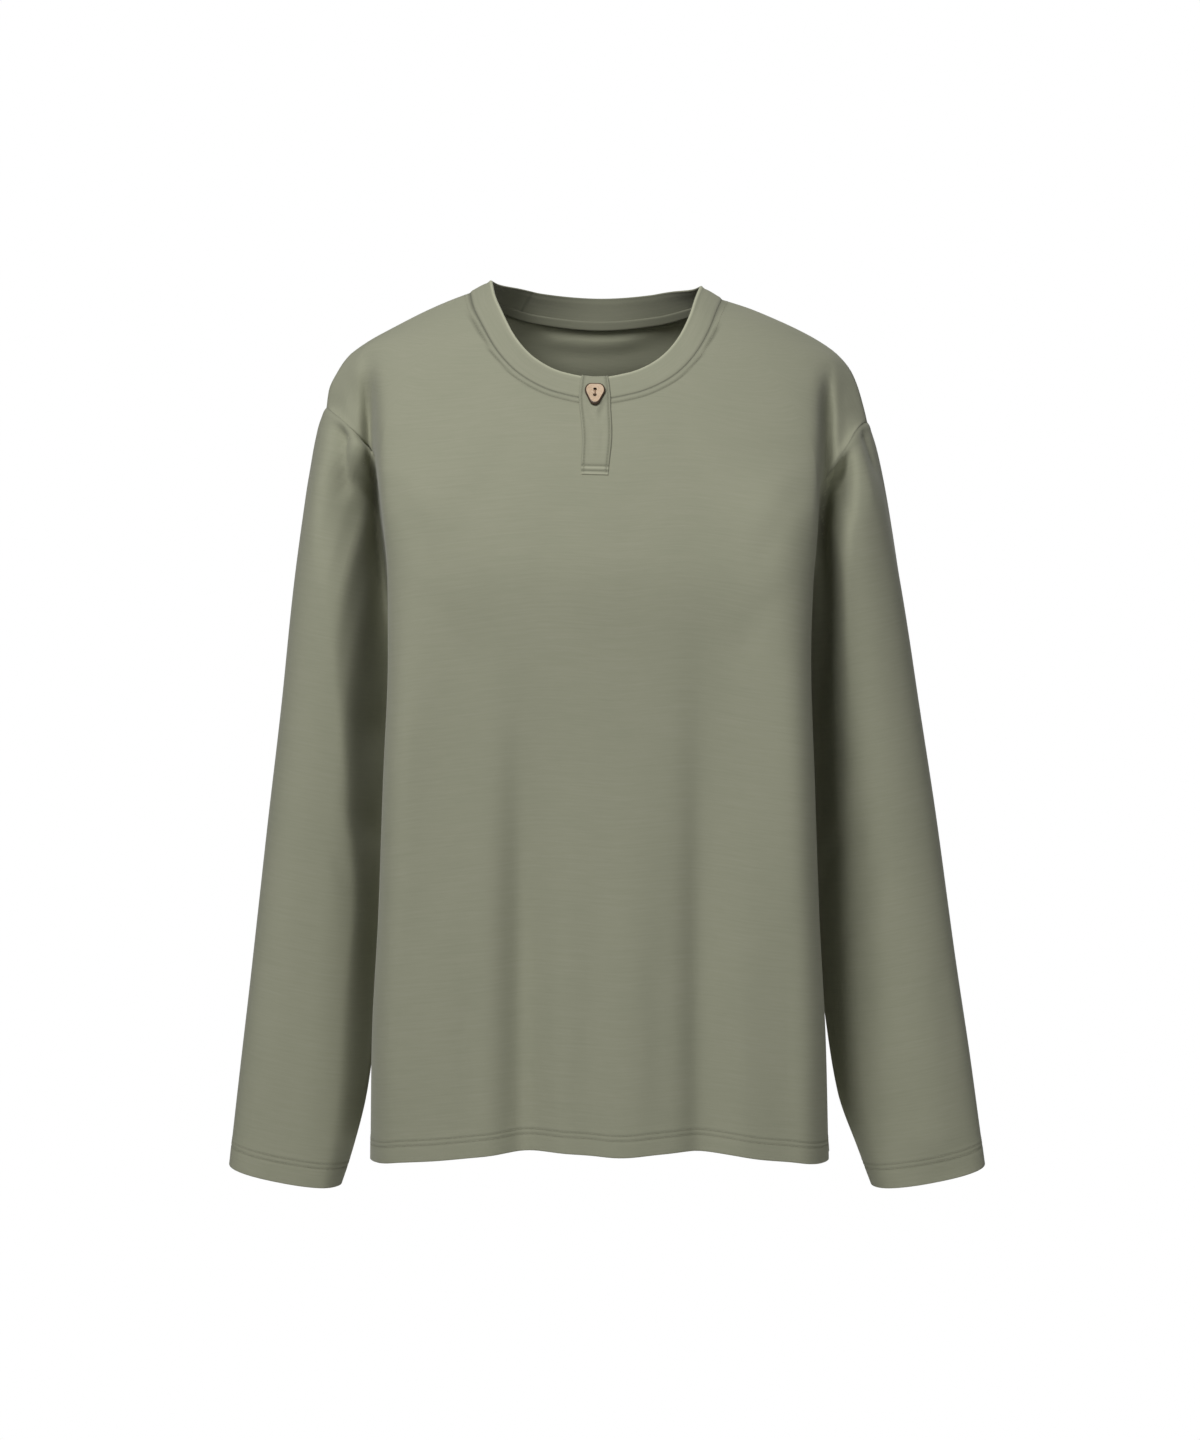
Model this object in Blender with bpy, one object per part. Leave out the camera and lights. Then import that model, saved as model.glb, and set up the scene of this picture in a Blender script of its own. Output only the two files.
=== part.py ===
"""Long-sleeved henley shirt in cotton jersey, men's size M, filled out as if it were worn.

Front faces -Y, the wearer's right is -X, +Z is up. The origin lies midway between the two high
points of the neckband, where the wearer's shoulders carry the shirt.

Each cloth piece is a grid of points on the shirt's outer face. The grids share their points along
every seam, the walls are set inwards along normals that the neighbours share, and each piece is
drawn back from its seams by half of the seam gap.
"""

import math

import bpy
import numpy as np
from mathutils import Matrix

MM = 0.001

# Cloth
WALL = 1.5 * MM  # jersey panels and sleeves
BAND_WALL = 2.2 * MM  # neckband, folded double
STRIP_WALL = 1.6 * MM  # placket strips
TAPE_WALL = 1.0 * MM
SEAM_GAP = 0.3 * MM

# Levels of the body, before the lean
HEM_Z = -686 * MM
UNDERARM_Z = -250 * MM
TIP_Z = -104 * MM  # shoulder tip, the top of the armhole
NECK_POINT_Z = -9 * MM  # where the shoulder seam meets the neckband
YOKE_Z = -200 * MM  # above this the rows bend up to the neckline
HEM_WAVE_HEIGHT = 150 * MM  # the hem's wave fades out this far above it
CENTRE_X = -4 * MM  # centre line of neck and placket
TILT = 0.0265  # the wearer's left shoulder hangs lower
TILT_ENDS_Z = -420 * MM
TILT_FULL_Z = -160 * MM

# Sections of the body: a chest curve from the centre line to the lobe, then a flank to the seam
LOBE_SHARE = 0.7  # share of a half panel between centre and lobe
FRONT_FULLNESS = 2.25  # 2 is an ellipse, more is squarer
BACK_FULLNESS = 2.15
LOBE_STRETCH = 0.015  # end of the chest curve that sets how the cloth leaves the lobe
LEAVE_AT_ARM = 0.35  # how far the flank keeps that direction, in flank widths
LEAVE_BELOW_ARM = 0.22
MEET_AT_ARM = 0.3  # how far the flank lies straight before it meets the armhole
MEET_BELOW_ARM = 0.55  # how far it runs straight back before it meets the side seam
ARM_FADE_TOP_Z = UNDERARM_Z + 40 * MM  # the flank changes between the two over this stretch
ARM_FADE_HEIGHT = 60 * MM

# Neckband and opening
BAND_BULGE = 1.0 * MM
BAND_MIDDLE_Y = -5 * MM
SLIT_HALF = 5 * MM
SLIT_BOTTOM_Z = -152 * MM
OVER_HALF_TOP = 12.4 * MM
OVER_HALF_BOTTOM = 10.6 * MM
OVER_BOTTOM_Z = -158 * MM
UNDER_HALF = 10.5 * MM
UNDER_BOTTOM_Z = -152 * MM
STRIP_ROWS = 6
STRIP_COLUMNS = 5
TAPE_STEPS = 5  # the neckband's height in steps, of which the tape covers the lowest
TAPE_LAST_STEP = 2

# Button, a rounded triangle with its point down
BUTTON_RADIUS = 8.5 * MM
BUTTON_CORNER = 4.8 * MM
BUTTON_STRETCH = 1.32
BUTTON_THICK = 3.0 * MM
BUTTON_BEVEL = 0.7 * MM
BUTTON_HOLE_RADIUS = 1.0 * MM
BUTTON_HOLE_APART = 4.6 * MM
BUTTON_CORNER_STEPS = 7
BUTTON_HOLE_SIDES = 10
BUTTON_SHARE = 0.6  # its middle, between the neck seam and the row of the neckband above it

# Counts and spacing of the grids
SIDE_ROWS = 12
ARMHOLE_ROWS = 10
SHOULDER_ROWS = 5
CHEST_COLUMNS = 13
LOBE_COLUMNS = 5
COLUMN_POWER = 1.5  # over 1 sets the columns closer together towards the lobe
ROW_BEND_POWER = 2.5  # how late the columns turn in towards the neckline
SLEEVE_ROWS = 20
SLEEVE_ROW_POWER = 1.25  # over 1 sets the rings closer together towards the armhole
ARMHOLE_FADES = 0.35  # share of the sleeve over which the armhole's own shape fades
BAND_ROWS = 3
SEARCH_STEPS = 401
MITRE_LIMIT = 0.4  # stops the shared normals of a sharp seam from growing long
SHARP_ANGLE = math.radians(50)

GREEN = (0.226, 0.232, 0.168, 1)
GREEN_DARK = (0.170, 0.176, 0.126, 1)
COCONUT = (0.41, 0.27, 0.14, 1)


def table(columns, *rows):
    """Rows in millimetres as one array for each named column, in metres."""
    names = columns.split()
    return {name: np.array([row[i] for row in rows]) * MM for i, name in enumerate(names)}


# Lengthwise sections: centre depth, and the lobe where the cloth turns back to the arm.
# A reach of 1000 turns it fully back at the lobe, less leaves a soft crease there.
FRONT = table(
    "z centre_y right_x left_x lobe_y reach",
    (-686, -117, -181, 180, -22, 1000),
    (-600, -117, -179, 177, -38, 1000),
    (-500, -118, -173, 171, -52, 1000),
    (-400, -120, -169, 167, -62, 1000),
    (-300, -123, -165, 164, -68, 1000),
    (-250, -123, -165, 165, -72, 1000),
    (-200, -117, -169, 169, -74, 1000),
    (-160, -107, -175, 172, -68, 1000),
    (-130, -95, -179, 176, -59, 995),
    (-100, -80, -183, 179, -47, 985),
    (-76, -69, -188, 181, -33, 960),
    (-60, -60, -186, 184, -21, 930),
    (-35, -44, -152, 156, -12, 900),
    (-9, -20, -97, 91, -8, 900),
)
BACK = table(
    "z centre_y right_x left_x lobe_y reach",
    (-686, 108, -181, 181, 24, 1000),
    (-600, 107, -177, 177, 36, 1000),
    (-500, 109, -172, 171, 48, 1000),
    (-400, 113, -167, 166, 60, 1000),
    (-300, 119, -162, 162, 70, 1000),
    (-250, 122, -163, 163, 78, 1000),
    (-200, 122, -168, 168, 84, 1000),
    (-160, 118, -174, 174, 84, 1000),
    (-130, 112, -178, 178, 76, 990),
    (-100, 103, -181, 181, 60, 970),
    (-76, 94, -185, 182, 40, 950),
    (-60, 86, -184, 184, 26, 930),
    (-35, 73, -150, 154, 14, 900),
    (-9, 48, -98, 92, 4, 900),
)
SIDE_SEAM = table(
    "z right_x left_x y",
    (-686, -182, 183, 4),
    (-620, -177, 177, 4),
    (-540, -167, 167, 5),
    (-460, -155, 156, 5),
    (-380, -145, 145, 5),
    (-310, -141, 141, 5),
    (-250, -140, 140, 5),
)
SHOULDER_SEAM = table(
    "z right_x left_x y",
    (-104, -219, 214, -4),
    (-90, -217, 210.5, -4),
    (-75, -210, 206, -4),
    (-62, -201, 200, -4),
    (-50, -185, 189.5, -4),
    (-40, -168, 175, -4),
    (-31, -152, 157.5, -4),
    (-23, -136.5, 139, -4),
    (-15, -119, 118, -4),
    (-9, -104, 97.6, -4),
)
# Round the armhole: turn 0 at the underarm, 180 at the shoulder tip, in thousandths of a degree
ARMHOLE = table(
    "turn right_x left_x front_y back_y",
    (0, -140, 140, 5, 5),
    (20000, -141, 141, -13, 23),
    (40000, -143, 143, -31, 40),
    (60000, -148, 149, -45, 54),
    (80000, -156, 159, -54, 62),
    (100000, -167, 171, -57, 65),
    (120000, -180, 186, -52, 60),
    (135000, -194, 196, -41, 48),
    (150000, -207, 203, -27, 32),
    (165000, -216, 209.4, -13, 14),
    (180000, -219, 214, -4, -4),
)
# Neck seam from the shoulder (share 0) to the centre (share 1000), and one row mirrored past it
NECK_FRONT = table(
    "share right_x right_z left_x left_z",
    (0, -104, -9, 97.6, -9),
    (140, -101, -21, 93, -20),
    (300, -92.5, -39, 86, -38),
    (480, -79, -62, 72.5, -61.5),
    (650, -61, -80, 54, -79.5),
    (830, -34, -93, 26, -92.5),
    (1000, -4, -98, -4, -98),
    (1170, 26, -92.5, -34, -93),
)
NECK_BACK = table(
    "share right_x right_z left_x left_z",
    (0, -104, -9, 97.6, -9),
    (180, -99, -11, 92, -11),
    (380, -84, -15.5, 76, -15),
    (620, -55, -22.5, 48, -21.5),
    (1000, -4, -26.5, -4, -26.5),
    (1380, 48, -21.5, -55, -22.5),
)
# How the neckband stands on its seam: turn 0 at the front, 180 at the back, mirrored past both
BAND = table(
    "turn inward up",
    (-45000, 15, 15),
    (0, 12, 18),
    (45000, 15, 15),
    (90000, 17.8, 9.8),
    (135000, 12, 19.5),
    (180000, 4.5, 22.5),
    (225000, 12, 19.5),
)
SLEEVE_RIGHT = table(
    "share outer_x outer_z inner_x inner_z centre_y half_depth pinch sag",
    (0, -219, -104, -140, -250, 5, 61, 650, 0),
    (50, -226, -122, -145.5, -262, 5, 61, 780, 0),
    (120, -232.5, -160, -150.5, -288, 6, 60, 800, 0),
    (250, -242.5, -230, -156, -340, 8, 57, 760, 0),
    (400, -254, -335, -161.5, -414, 10, 52, 550, 0),
    (550, -265.5, -430, -168, -490, 10, 46, 300, 0),
    (700, -276.5, -530, -178, -570, 6, 38, 100, 0),
    (850, -286.5, -617, -187, -646, -2, 29, 0, 1),
    (940, -292, -668, -197.5, -690, -7, 22, 0, 3),
    (1000, -295.5, -702, -207, -719, -10, 18, 0, 5),
)
SLEEVE_LEFT = table(
    "share outer_x outer_z inner_x inner_z centre_y half_depth pinch sag",
    (0, 214, -104, 140, -250, 5, 61, 650, 0),
    (50, 220, -122, 145.5, -262, 5, 61, 780, 0),
    (120, 228, -160, 150.5, -288, 6, 60, 800, 0),
    (250, 239.5, -230, 156, -340, 8, 57, 760, 0),
    (400, 255, -335, 162, -414, 10, 52, 550, 0),
    (550, 269.5, -430, 169, -490, 10, 46, 300, 0),
    (700, 283, -530, 179, -570, 6, 38, 100, 0),
    (850, 295.8, -617, 190.5, -646, -2, 29, 0, 1),
    (940, 302.4, -668, 206, -690, -7, 22, 0, 3),
    (1000, 306.8, -702, 217, -719, -10, 18, 0, 5),
)
# The largest drape folds: where each starts and where it meets the hem; depth is inwards
FRONT_FOLDS = table(
    "top_x top_z hem_x depth width",
    (-84, -330, -72, 7.5, 24),
    (66, -250, 70, 8.5, 26),
    (132, -420, 134, 3.5, 18),
    (-10, -450, -6, 2.5, 20),
    (-128, -400, -128, -3.5, 26),
    (-42, -380, -30, -3.0, 24),
    (26, -330, 24, -3.5, 22),
    (104, -400, 104, -2.5, 18),
)
BACK_FOLDS = table(
    "top_x top_z hem_x depth width",
    (-104, -340, -112, 6.0, 24),
    (-22, -280, -30, 7.5, 28),
    (58, -360, 66, 5.0, 22),
    (120, -300, 126, 6.0, 22),
    (-66, -380, -70, -3.5, 22),
    (20, -400, 18, -3.0, 24),
    (-146, -420, -150, -2.5, 18),
)
# How far the hem's wave lifts it; the two agree at the side seams
FRONT_HEM = table(
    "x rise",
    (-200, -7),
    (-174, -7),
    (-155, -5),
    (-125, -2.6),
    (-90, 0.9),
    (-52, 4.8),
    (-20, 3.4),
    (15, 1.2),
    (45, 3.4),
    (72, 4.9),
    (100, 1.9),
    (125, -2),
    (150, -4.6),
    (174, -7),
    (200, -7),
)
BACK_HEM = table(
    "x rise",
    (-200, -7),
    (-174, -7),
    (-140, -3),
    (-106, 3.2),
    (-68, 0.2),
    (-28, 4),
    (20, -0.8),
    (64, 3.2),
    (94, 1),
    (124, 2),
    (148, -3),
    (174, -7),
    (200, -7),
)


def smooth(xs, ys, x):
    """Monotone cubic curve through the points, read at x."""
    order = np.argsort(xs)
    xs, ys = xs[order], ys[order]
    steps = np.diff(xs)
    rises = np.diff(ys) / steps
    slopes = np.concatenate([rises[:1], np.zeros(len(xs) - 2), rises[-1:]])
    same_way = rises[:-1] * rises[1:] > 0
    rise_before = np.where(same_way, rises[:-1], 1)
    rise_after = np.where(same_way, rises[1:], 1)
    before = 2 * steps[1:] + steps[:-1]
    after = steps[1:] + 2 * steps[:-1]
    mean = (before + after) / (before / rise_before + after / rise_after)
    slopes[1:-1] = np.where(same_way, mean, 0)
    x = np.clip(x, xs[0], xs[-1])
    i = np.clip(np.searchsorted(xs, x) - 1, 0, len(steps) - 1)
    t = (x - xs[i]) / steps[i]
    return (
        ys[i] * (1 + 2 * t) * (1 - t) ** 2
        + ys[i + 1] * t**2 * (3 - 2 * t)
        + steps[i] * (slopes[i] * t * (1 - t) ** 2 + slopes[i + 1] * t**2 * (t - 1))
    )


def read_share(rows, name, share):
    """A column of a table whose share runs from 0 to 1000."""
    return smooth(rows["share"], rows[name], np.asarray(share, float))


def ease(x):
    """0 to 1 with flat ends."""
    x = np.clip(x, 0, 1)
    return x * x * (3 - 2 * x)


def unit(vectors):
    """The vectors at length 1."""
    return vectors / np.maximum(np.linalg.norm(vectors, axis=-1, keepdims=True), 1e-12)


def bezier(start, leave, meet, end, v):
    """Cubic curve from start to end, with leave and meet as its handles."""
    u = 1 - v
    return u**3 * start + 3 * u**2 * v * leave + 3 * u * v**2 * meet + v**3 * end


def seam_edge(panel, side, z):
    """x and y of a panel's side edge at level z: side seam, armhole, then shoulder seam."""
    middle = (UNDERARM_Z + TIP_Z) / 2
    half = (TIP_Z - UNDERARM_Z) / 2
    turn = np.degrees(np.arccos(np.clip((middle - z) / half, -1, 1)))
    armhole_y = "front_y" if panel is FRONT else "back_y"
    found = []
    for name, armhole_name in ((side + "_x", side + "_x"), ("y", armhole_y)):
        low = smooth(SIDE_SEAM["z"], SIDE_SEAM[name], z)
        arm = smooth(ARMHOLE["turn"], ARMHOLE[armhole_name], turn)
        high = smooth(SHOULDER_SEAM["z"], SHOULDER_SEAM[name], z)
        found.append(np.where(z <= UNDERARM_Z, low, np.where(z >= TIP_Z, high, arm)))
    return found


def bulge(q, fullness):
    """0 at the middle of a rounded section, 1 where it has turned fully back."""
    return 1 - (1 - np.clip(q, 0, 1) ** fullness) ** (1 / fullness)


def half_section(panel, side, z, share):
    """Points of half a panel: share 0 at the centre line, LOBE_SHARE at the lobe, 1 at the seam."""
    fullness = FRONT_FULLNESS if panel is FRONT else BACK_FULLNESS
    rearwards = 1 if panel is FRONT else -1
    names = ("centre_y", side + "_x", "lobe_y", "reach")
    centre_y, lobe_x, lobe_y, reach = (smooth(panel["z"], panel[name], z) for name in names)
    edge_x, edge_y = seam_edge(panel, side, z)

    def depth(q):
        return bulge(q * reach, fullness) / bulge(reach, fullness)

    q = np.clip(share / LOBE_SHARE, 0, 1)
    chest_x = CENTRE_X + (lobe_x - CENTRE_X) * q
    chest_y = centre_y + (lobe_y - centre_y) * depth(q)

    step_x = (lobe_x - CENTRE_X) * LOBE_STRETCH
    step_y = (lobe_y - centre_y) * (1 - depth(1 - LOBE_STRETCH))
    width = np.hypot(edge_x - lobe_x, edge_y - lobe_y)
    below = ease((ARM_FADE_TOP_Z - z) / ARM_FADE_HEIGHT)
    leave = width * (LEAVE_AT_ARM + (LEAVE_BELOW_ARM - LEAVE_AT_ARM) * below)
    leave = leave / np.hypot(step_x, step_y)
    meet = MEET_AT_ARM * (1 - below)
    meet_x = edge_x - (edge_x - lobe_x) * meet
    meet_y = edge_y - (edge_y - lobe_y) * meet - rearwards * width * MEET_BELOW_ARM * below
    v = np.clip((share - LOBE_SHARE) / (1 - LOBE_SHARE), 0, 1)
    flank_x = bezier(lobe_x, lobe_x + step_x * leave, meet_x, edge_x, v)
    flank_y = bezier(lobe_y, lobe_y + step_y * leave, meet_y, edge_y, v)

    on_chest = share <= LOBE_SHARE
    x = np.where(on_chest, chest_x, flank_x)
    y = np.where(on_chest, chest_y, flank_y)
    return np.stack([x, y, z + 0 * share], -1)


def body_point(panel, w, z):
    """Point of a panel at w, -1 at the wearer's right seam to 1 at the left, and level z."""
    w, z = np.broadcast_arrays(np.asarray(w, float), np.asarray(z, float))
    right = half_section(panel, "right", z, np.abs(w))
    left = half_section(panel, "left", z, np.abs(w))
    return np.where((w > 0)[..., None], left, right)


def share_at(panel, side, x, z):
    """The share of a half panel at which its section at level z reaches x."""
    shares = np.linspace(0, 1, SEARCH_STEPS)
    section = half_section(panel, side, np.full(SEARCH_STEPS, z), shares)
    return np.interp(abs(x - CENTRE_X), np.abs(section[:, 0] - CENTRE_X), shares)


def neckline(panel, side, share):
    """w and z of the neck seam, from the shoulder (share 0) to the centre line (share 1)."""
    rows = NECK_FRONT if panel is FRONT else NECK_BACK
    xs = read_share(rows, side + "_x", share)
    zs = read_share(rows, side + "_z", share)
    found = np.array([share_at(panel, side, x, z) for x, z in zip(xs, zs)])
    found = np.where(share <= 0, 1, np.where(share >= 1, 0, found))
    return (found if side == "left" else -found), zs


def columns(panel):
    """Shares of the columns of a half panel, closer together where the cloth turns."""
    chest = (1 - np.linspace(1, 0, CHEST_COLUMNS + 1) ** COLUMN_POWER) * LOBE_SHARE
    flank = LOBE_SHARE + (1 - LOBE_SHARE) * np.linspace(0, 1, LOBE_COLUMNS + 1)[1:]
    half_chest = np.interp(SLIT_BOTTOM_Z, panel["z"], panel["left_x"]) - CENTRE_X
    slit = [SLIT_HALF / half_chest * LOBE_SHARE] if panel is FRONT else []
    return np.concatenate([chest[:1], slit, chest[1:], flank])


def edge_levels():
    """Levels at which the rows meet the side seam, the armhole and the shoulder seam."""
    side = np.linspace(HEM_Z, UNDERARM_Z, SIDE_ROWS + 1)
    turn = np.linspace(0, math.pi, ARMHOLE_ROWS + 1)[1:]
    armhole = (UNDERARM_Z + TIP_Z) / 2 - (TIP_Z - UNDERARM_Z) / 2 * np.cos(turn)
    shoulder = np.linspace(TIP_Z, NECK_POINT_Z, SHOULDER_ROWS + 1)[1:]
    return np.concatenate([side, armhole, shoulder])


def panel_grid(panel):
    """Rows from hem to neckline, columns from the right seam to the left."""
    shares = columns(panel)
    low_w = np.concatenate([-shares[::-1], shares[1:]])
    right_w, right_z = neckline(panel, "right", 1 - shares[::-1])
    left_w, left_z = neckline(panel, "left", 1 - shares[1:])
    top_w = np.concatenate([right_w, left_w])
    top_z = np.concatenate([right_z, left_z])
    if panel is FRONT:
        # The columns beside the centre line run straight up, as the slit's edges
        middle = len(shares) - 1
        top_w[middle - 1] = -shares[1]
        top_w[middle + 1] = shares[1]
    grid = []
    for level in edge_levels():
        rise = np.clip((level - YOKE_Z) / (NECK_POINT_Z - YOKE_Z), 0, 1)
        z = np.where(rise > 0, YOKE_Z + rise * (top_z - YOKE_Z), level)
        w = low_w + rise**ROW_BEND_POWER * (top_w - low_w)
        grid.append(body_point(panel, w, z))
    return np.array(grid), low_w


def draped(grid, low_w, folds, hem):
    """The grid with its drape folds, which run out before the seams, and its hem's wave."""
    inside = ease((1 - np.abs(low_w)) / (1 - LOBE_SHARE))
    depth = np.zeros(grid.shape[:2])
    for top_x, top_z, hem_x, deep, width in zip(*folds.values()):
        run = np.clip((top_z - grid[..., 2]) / (top_z - HEM_Z), 0, 1)
        middle = top_x + (hem_x - top_x) * run
        depth += deep * ease(run) * np.exp(-(((grid[..., 0] - middle) / width) ** 2))
    moved = grid - grid_normals(grid) * (depth * inside)[..., None]
    near_hem = ease((HEM_Z + HEM_WAVE_HEIGHT - grid[..., 2]) / HEM_WAVE_HEIGHT)
    moved[..., 2] += near_hem * smooth(hem["x"], hem["rise"], grid[..., 0])
    return moved


def grid_normals(grid, closed=False):
    """Unit normals of a grid, facing out where columns run anticlockwise seen from above."""
    if closed:
        along = np.roll(grid, -1, 1) - np.roll(grid, 1, 1)
    else:
        along = np.gradient(grid, axis=1)
    return unit(np.cross(along, np.gradient(grid, axis=0)))


def lean(points):
    """The whole shirt's slight lean: its left shoulder hangs lower, and the hem is level."""
    points = points.copy()
    share = ease((points[..., 2] - TILT_ENDS_Z) / (TILT_FULL_Z - TILT_ENDS_Z))
    points[..., 2] -= TILT * points[..., 0] * share
    return points


def armhole_loop(front, back, side):
    """Points round an armhole, from the underarm over the front to the tip and down the back."""
    rows = slice(SIDE_ROWS, SIDE_ROWS + ARMHOLE_ROWS + 1)
    column = -1 if side == "left" else 0
    loop = np.concatenate([front[rows, column], back[rows, column][-2:0:-1]])
    return loop[::-1] if side == "left" else loop


def sleeve_ring(rows, share, turn):
    """Points of a sleeve's round section: turn 0 at its outer side, 90 degrees behind."""
    at = {name: read_share(rows, name, share) for name in rows}
    outer = np.array([at["outer_x"], at["centre_y"], at["outer_z"]])
    inner = np.array([at["inner_x"], at["centre_y"], at["inner_z"]])
    pinch = at["pinch"] * np.clip(-np.cos(turn), 0, 1) ** 2
    depth = np.sin(turn) * (1 - pinch) * at["half_depth"]
    ring = (outer + inner) / 2 + np.cos(turn)[:, None] * (outer - inner) / 2
    ring[:, 1] += depth
    ring[:, 2] -= at["sag"] * np.abs(np.sin(turn))
    return ring


def sleeve_grid(rows, loop):
    """Rings from the armhole to the cuff. The armhole's own shape fades into the round sections."""
    outer = np.array([rows["outer_x"][0], rows["centre_y"][0], rows["outer_z"][0]])
    inner = np.array([rows["inner_x"][0], rows["centre_y"][0], rows["inner_z"][0]])
    middle = (outer + inner) / 2
    arm = outer - middle
    across = (loop - middle) @ arm / (arm @ arm)
    turn = np.arctan2((loop[:, 1] - middle[1]) / rows["half_depth"][0], across)
    rest = loop - sleeve_ring(rows, 0, turn)
    rings = [loop]
    for share in np.linspace(0, 1, SLEEVE_ROWS + 1)[1:] ** SLEEVE_ROW_POWER:
        rings.append(sleeve_ring(rows, share, turn) + rest * (1 - ease(share / ARMHOLE_FADES)))
    return np.array(rings)


def band_grid(seam, rows=BAND_ROWS):
    """The neckband's outer face, from points of its seam up to its top edge."""
    inwards = unit(np.array([CENTRE_X, BAND_MIDDLE_Y]) - seam[:, :2])
    turn = np.degrees(np.arccos(np.clip(inwards[:, 1], -1, 1)))
    inward = smooth(BAND["turn"], BAND["inward"], turn)[:, None]
    up = smooth(BAND["turn"], BAND["up"], turn)[:, None]
    rise = np.concatenate([inwards * inward, up], axis=1)
    out = unit(np.concatenate([-inwards * up, inward], axis=1))
    shares = np.linspace(0, 1, rows + 1)
    return np.array([seam + rise * v + out * BAND_BULGE * math.sin(math.pi * v) for v in shares])


def front_neck_z(x):
    """Level of the front neck seam at x, near the centre line."""
    side = "left" if x > CENTRE_X else "right"
    shares = np.linspace(0.5, 1, SEARCH_STEPS)
    xs = read_share(NECK_FRONT, side + "_x", shares)
    zs = read_share(NECK_FRONT, side + "_z", shares)
    order = np.argsort(xs)
    return np.interp(x, xs[order], zs[order])


def front_strip(half_top, half_bottom, bottom_z):
    """Points of the front's outer face along the opening: the panel's rows, then the neckband's."""
    grid = []
    for share in np.linspace(0, 1, STRIP_ROWS + 1):
        half = half_bottom + (half_top - half_bottom) * share
        row = []
        for x in CENTRE_X + np.linspace(-half, half, STRIP_COLUMNS + 1):
            z = bottom_z + (front_neck_z(x) - bottom_z) * share
            side = "left" if x > CENTRE_X else "right"
            w = share_at(FRONT, side, x, z)
            row.append(body_point(FRONT, w if side == "left" else -w, z))
        grid.append(row)
    return np.concatenate([np.array(grid), band_grid(np.array(grid[-1]))[1:]])


def shared_normals(grids):
    """Normals for each grid. Points that grids share get the mean of theirs, longer at a sharp seam."""
    normals = {name: grid_normals(grid, closed) for name, (grid, closed) in grids.items()}
    same_place = 2e-6
    total, count = {}, {}
    for name, (grid, _) in grids.items():
        keys = np.round(grid.reshape(-1, 3) / same_place).astype(int)
        for key, normal in zip(map(tuple, keys), normals[name].reshape(-1, 3)):
            total[key] = total.get(key, 0) + normal
            count[key] = count.get(key, 0) + 1
    for name, (grid, _) in grids.items():
        keys = np.round(grid.reshape(-1, 3) / same_place).astype(int)
        flat = normals[name].reshape(-1, 3)
        for i, key in enumerate(map(tuple, keys)):
            mean = total[key] / count[key]
            closeness = np.linalg.norm(mean)
            flat[i] = mean / closeness / max(closeness, MITRE_LIMIT)
    return normals


def drawn_back(grid, closed):
    """The grid with its border drawn back from the seams by half of the gap."""
    moved = grid.copy()
    for edge, inner in ((0, 1), (-1, -2)):
        moved[edge] += unit(grid[inner] - grid[edge]) * SEAM_GAP / 2
        if not closed:
            moved[:, edge] += unit(grid[:, inner] - grid[:, edge]) * SEAM_GAP / 2
    return moved


def material(name, colour, roughness):
    made = bpy.data.materials.new(name)
    made.use_nodes = True
    shader = made.node_tree.nodes["Principled BSDF"]
    shader.inputs["Base Color"].default_value = colour
    shader.inputs["Roughness"].default_value = roughness
    shader.inputs["Metallic"].default_value = 0
    return made


def add_object(name, points, faces, finish):
    mesh = bpy.data.meshes.new(name)
    mesh.from_pydata([tuple(point) for point in points], [], faces)
    mesh.validate()
    mesh.shade_smooth()
    mesh.set_sharp_from_angle(angle=SHARP_ANGLE)
    mesh.materials.append(finish)
    made = bpy.data.objects.new(name, mesh)
    bpy.context.scene.collection.objects.link(made)
    return made


def grid_quads(rows, count, closed, missing):
    """Corner numbers of each quad between the points of a grid."""
    quads = []
    for r in range(rows - 1):
        for c in range(count if closed else count - 1):
            if (r, c) in missing:
                continue
            low, high, right = r * count, (r + 1) * count, (c + 1) % count
            quads.append((low + c, low + right, high + right, high + c))
    return quads


def wall(name, outer, inner, finish, closed=False, missing=()):
    """One closed wall between two grids; missing names the quads that are left out."""
    rows, count = outer.shape[:2]
    points = np.concatenate([outer.reshape(-1, 3), inner.reshape(-1, 3)])
    under = rows * count
    quads = grid_quads(rows, count, closed, missing)
    directed = {(quad[i], quad[(i + 1) % 4]) for quad in quads for i in range(4)}
    rim = []
    for a, b in sorted(directed):
        if (b, a) in directed:
            continue
        # Neighbours split their twisted rims along the same diagonal, from the lower outer point
        if tuple(points[a][::-1]) < tuple(points[b][::-1]):
            rim += [(b, a, b + under), (a, a + under, b + under)]
        else:
            rim += [(b, a, a + under), (b, a + under, b + under)]
    faces = quads + [tuple(v + under for v in reversed(quad)) for quad in quads] + rim
    used = sorted({v for face in faces for v in face})
    place = {v: i for i, v in enumerate(used)}
    return add_object(name, points[used], [tuple(place[v] for v in face) for face in faces], finish)


def strip_on(name, grid, low, high, finish):
    """A strip that lies on a face: its two sides are the face's points, moved along its normals."""
    normals = grid_normals(grid)
    low, high = (np.broadcast_to(value, grid.shape[:1])[:, None, None] for value in (low, high))
    return wall(name, grid + normals * high, grid + normals * low, finish)


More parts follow.
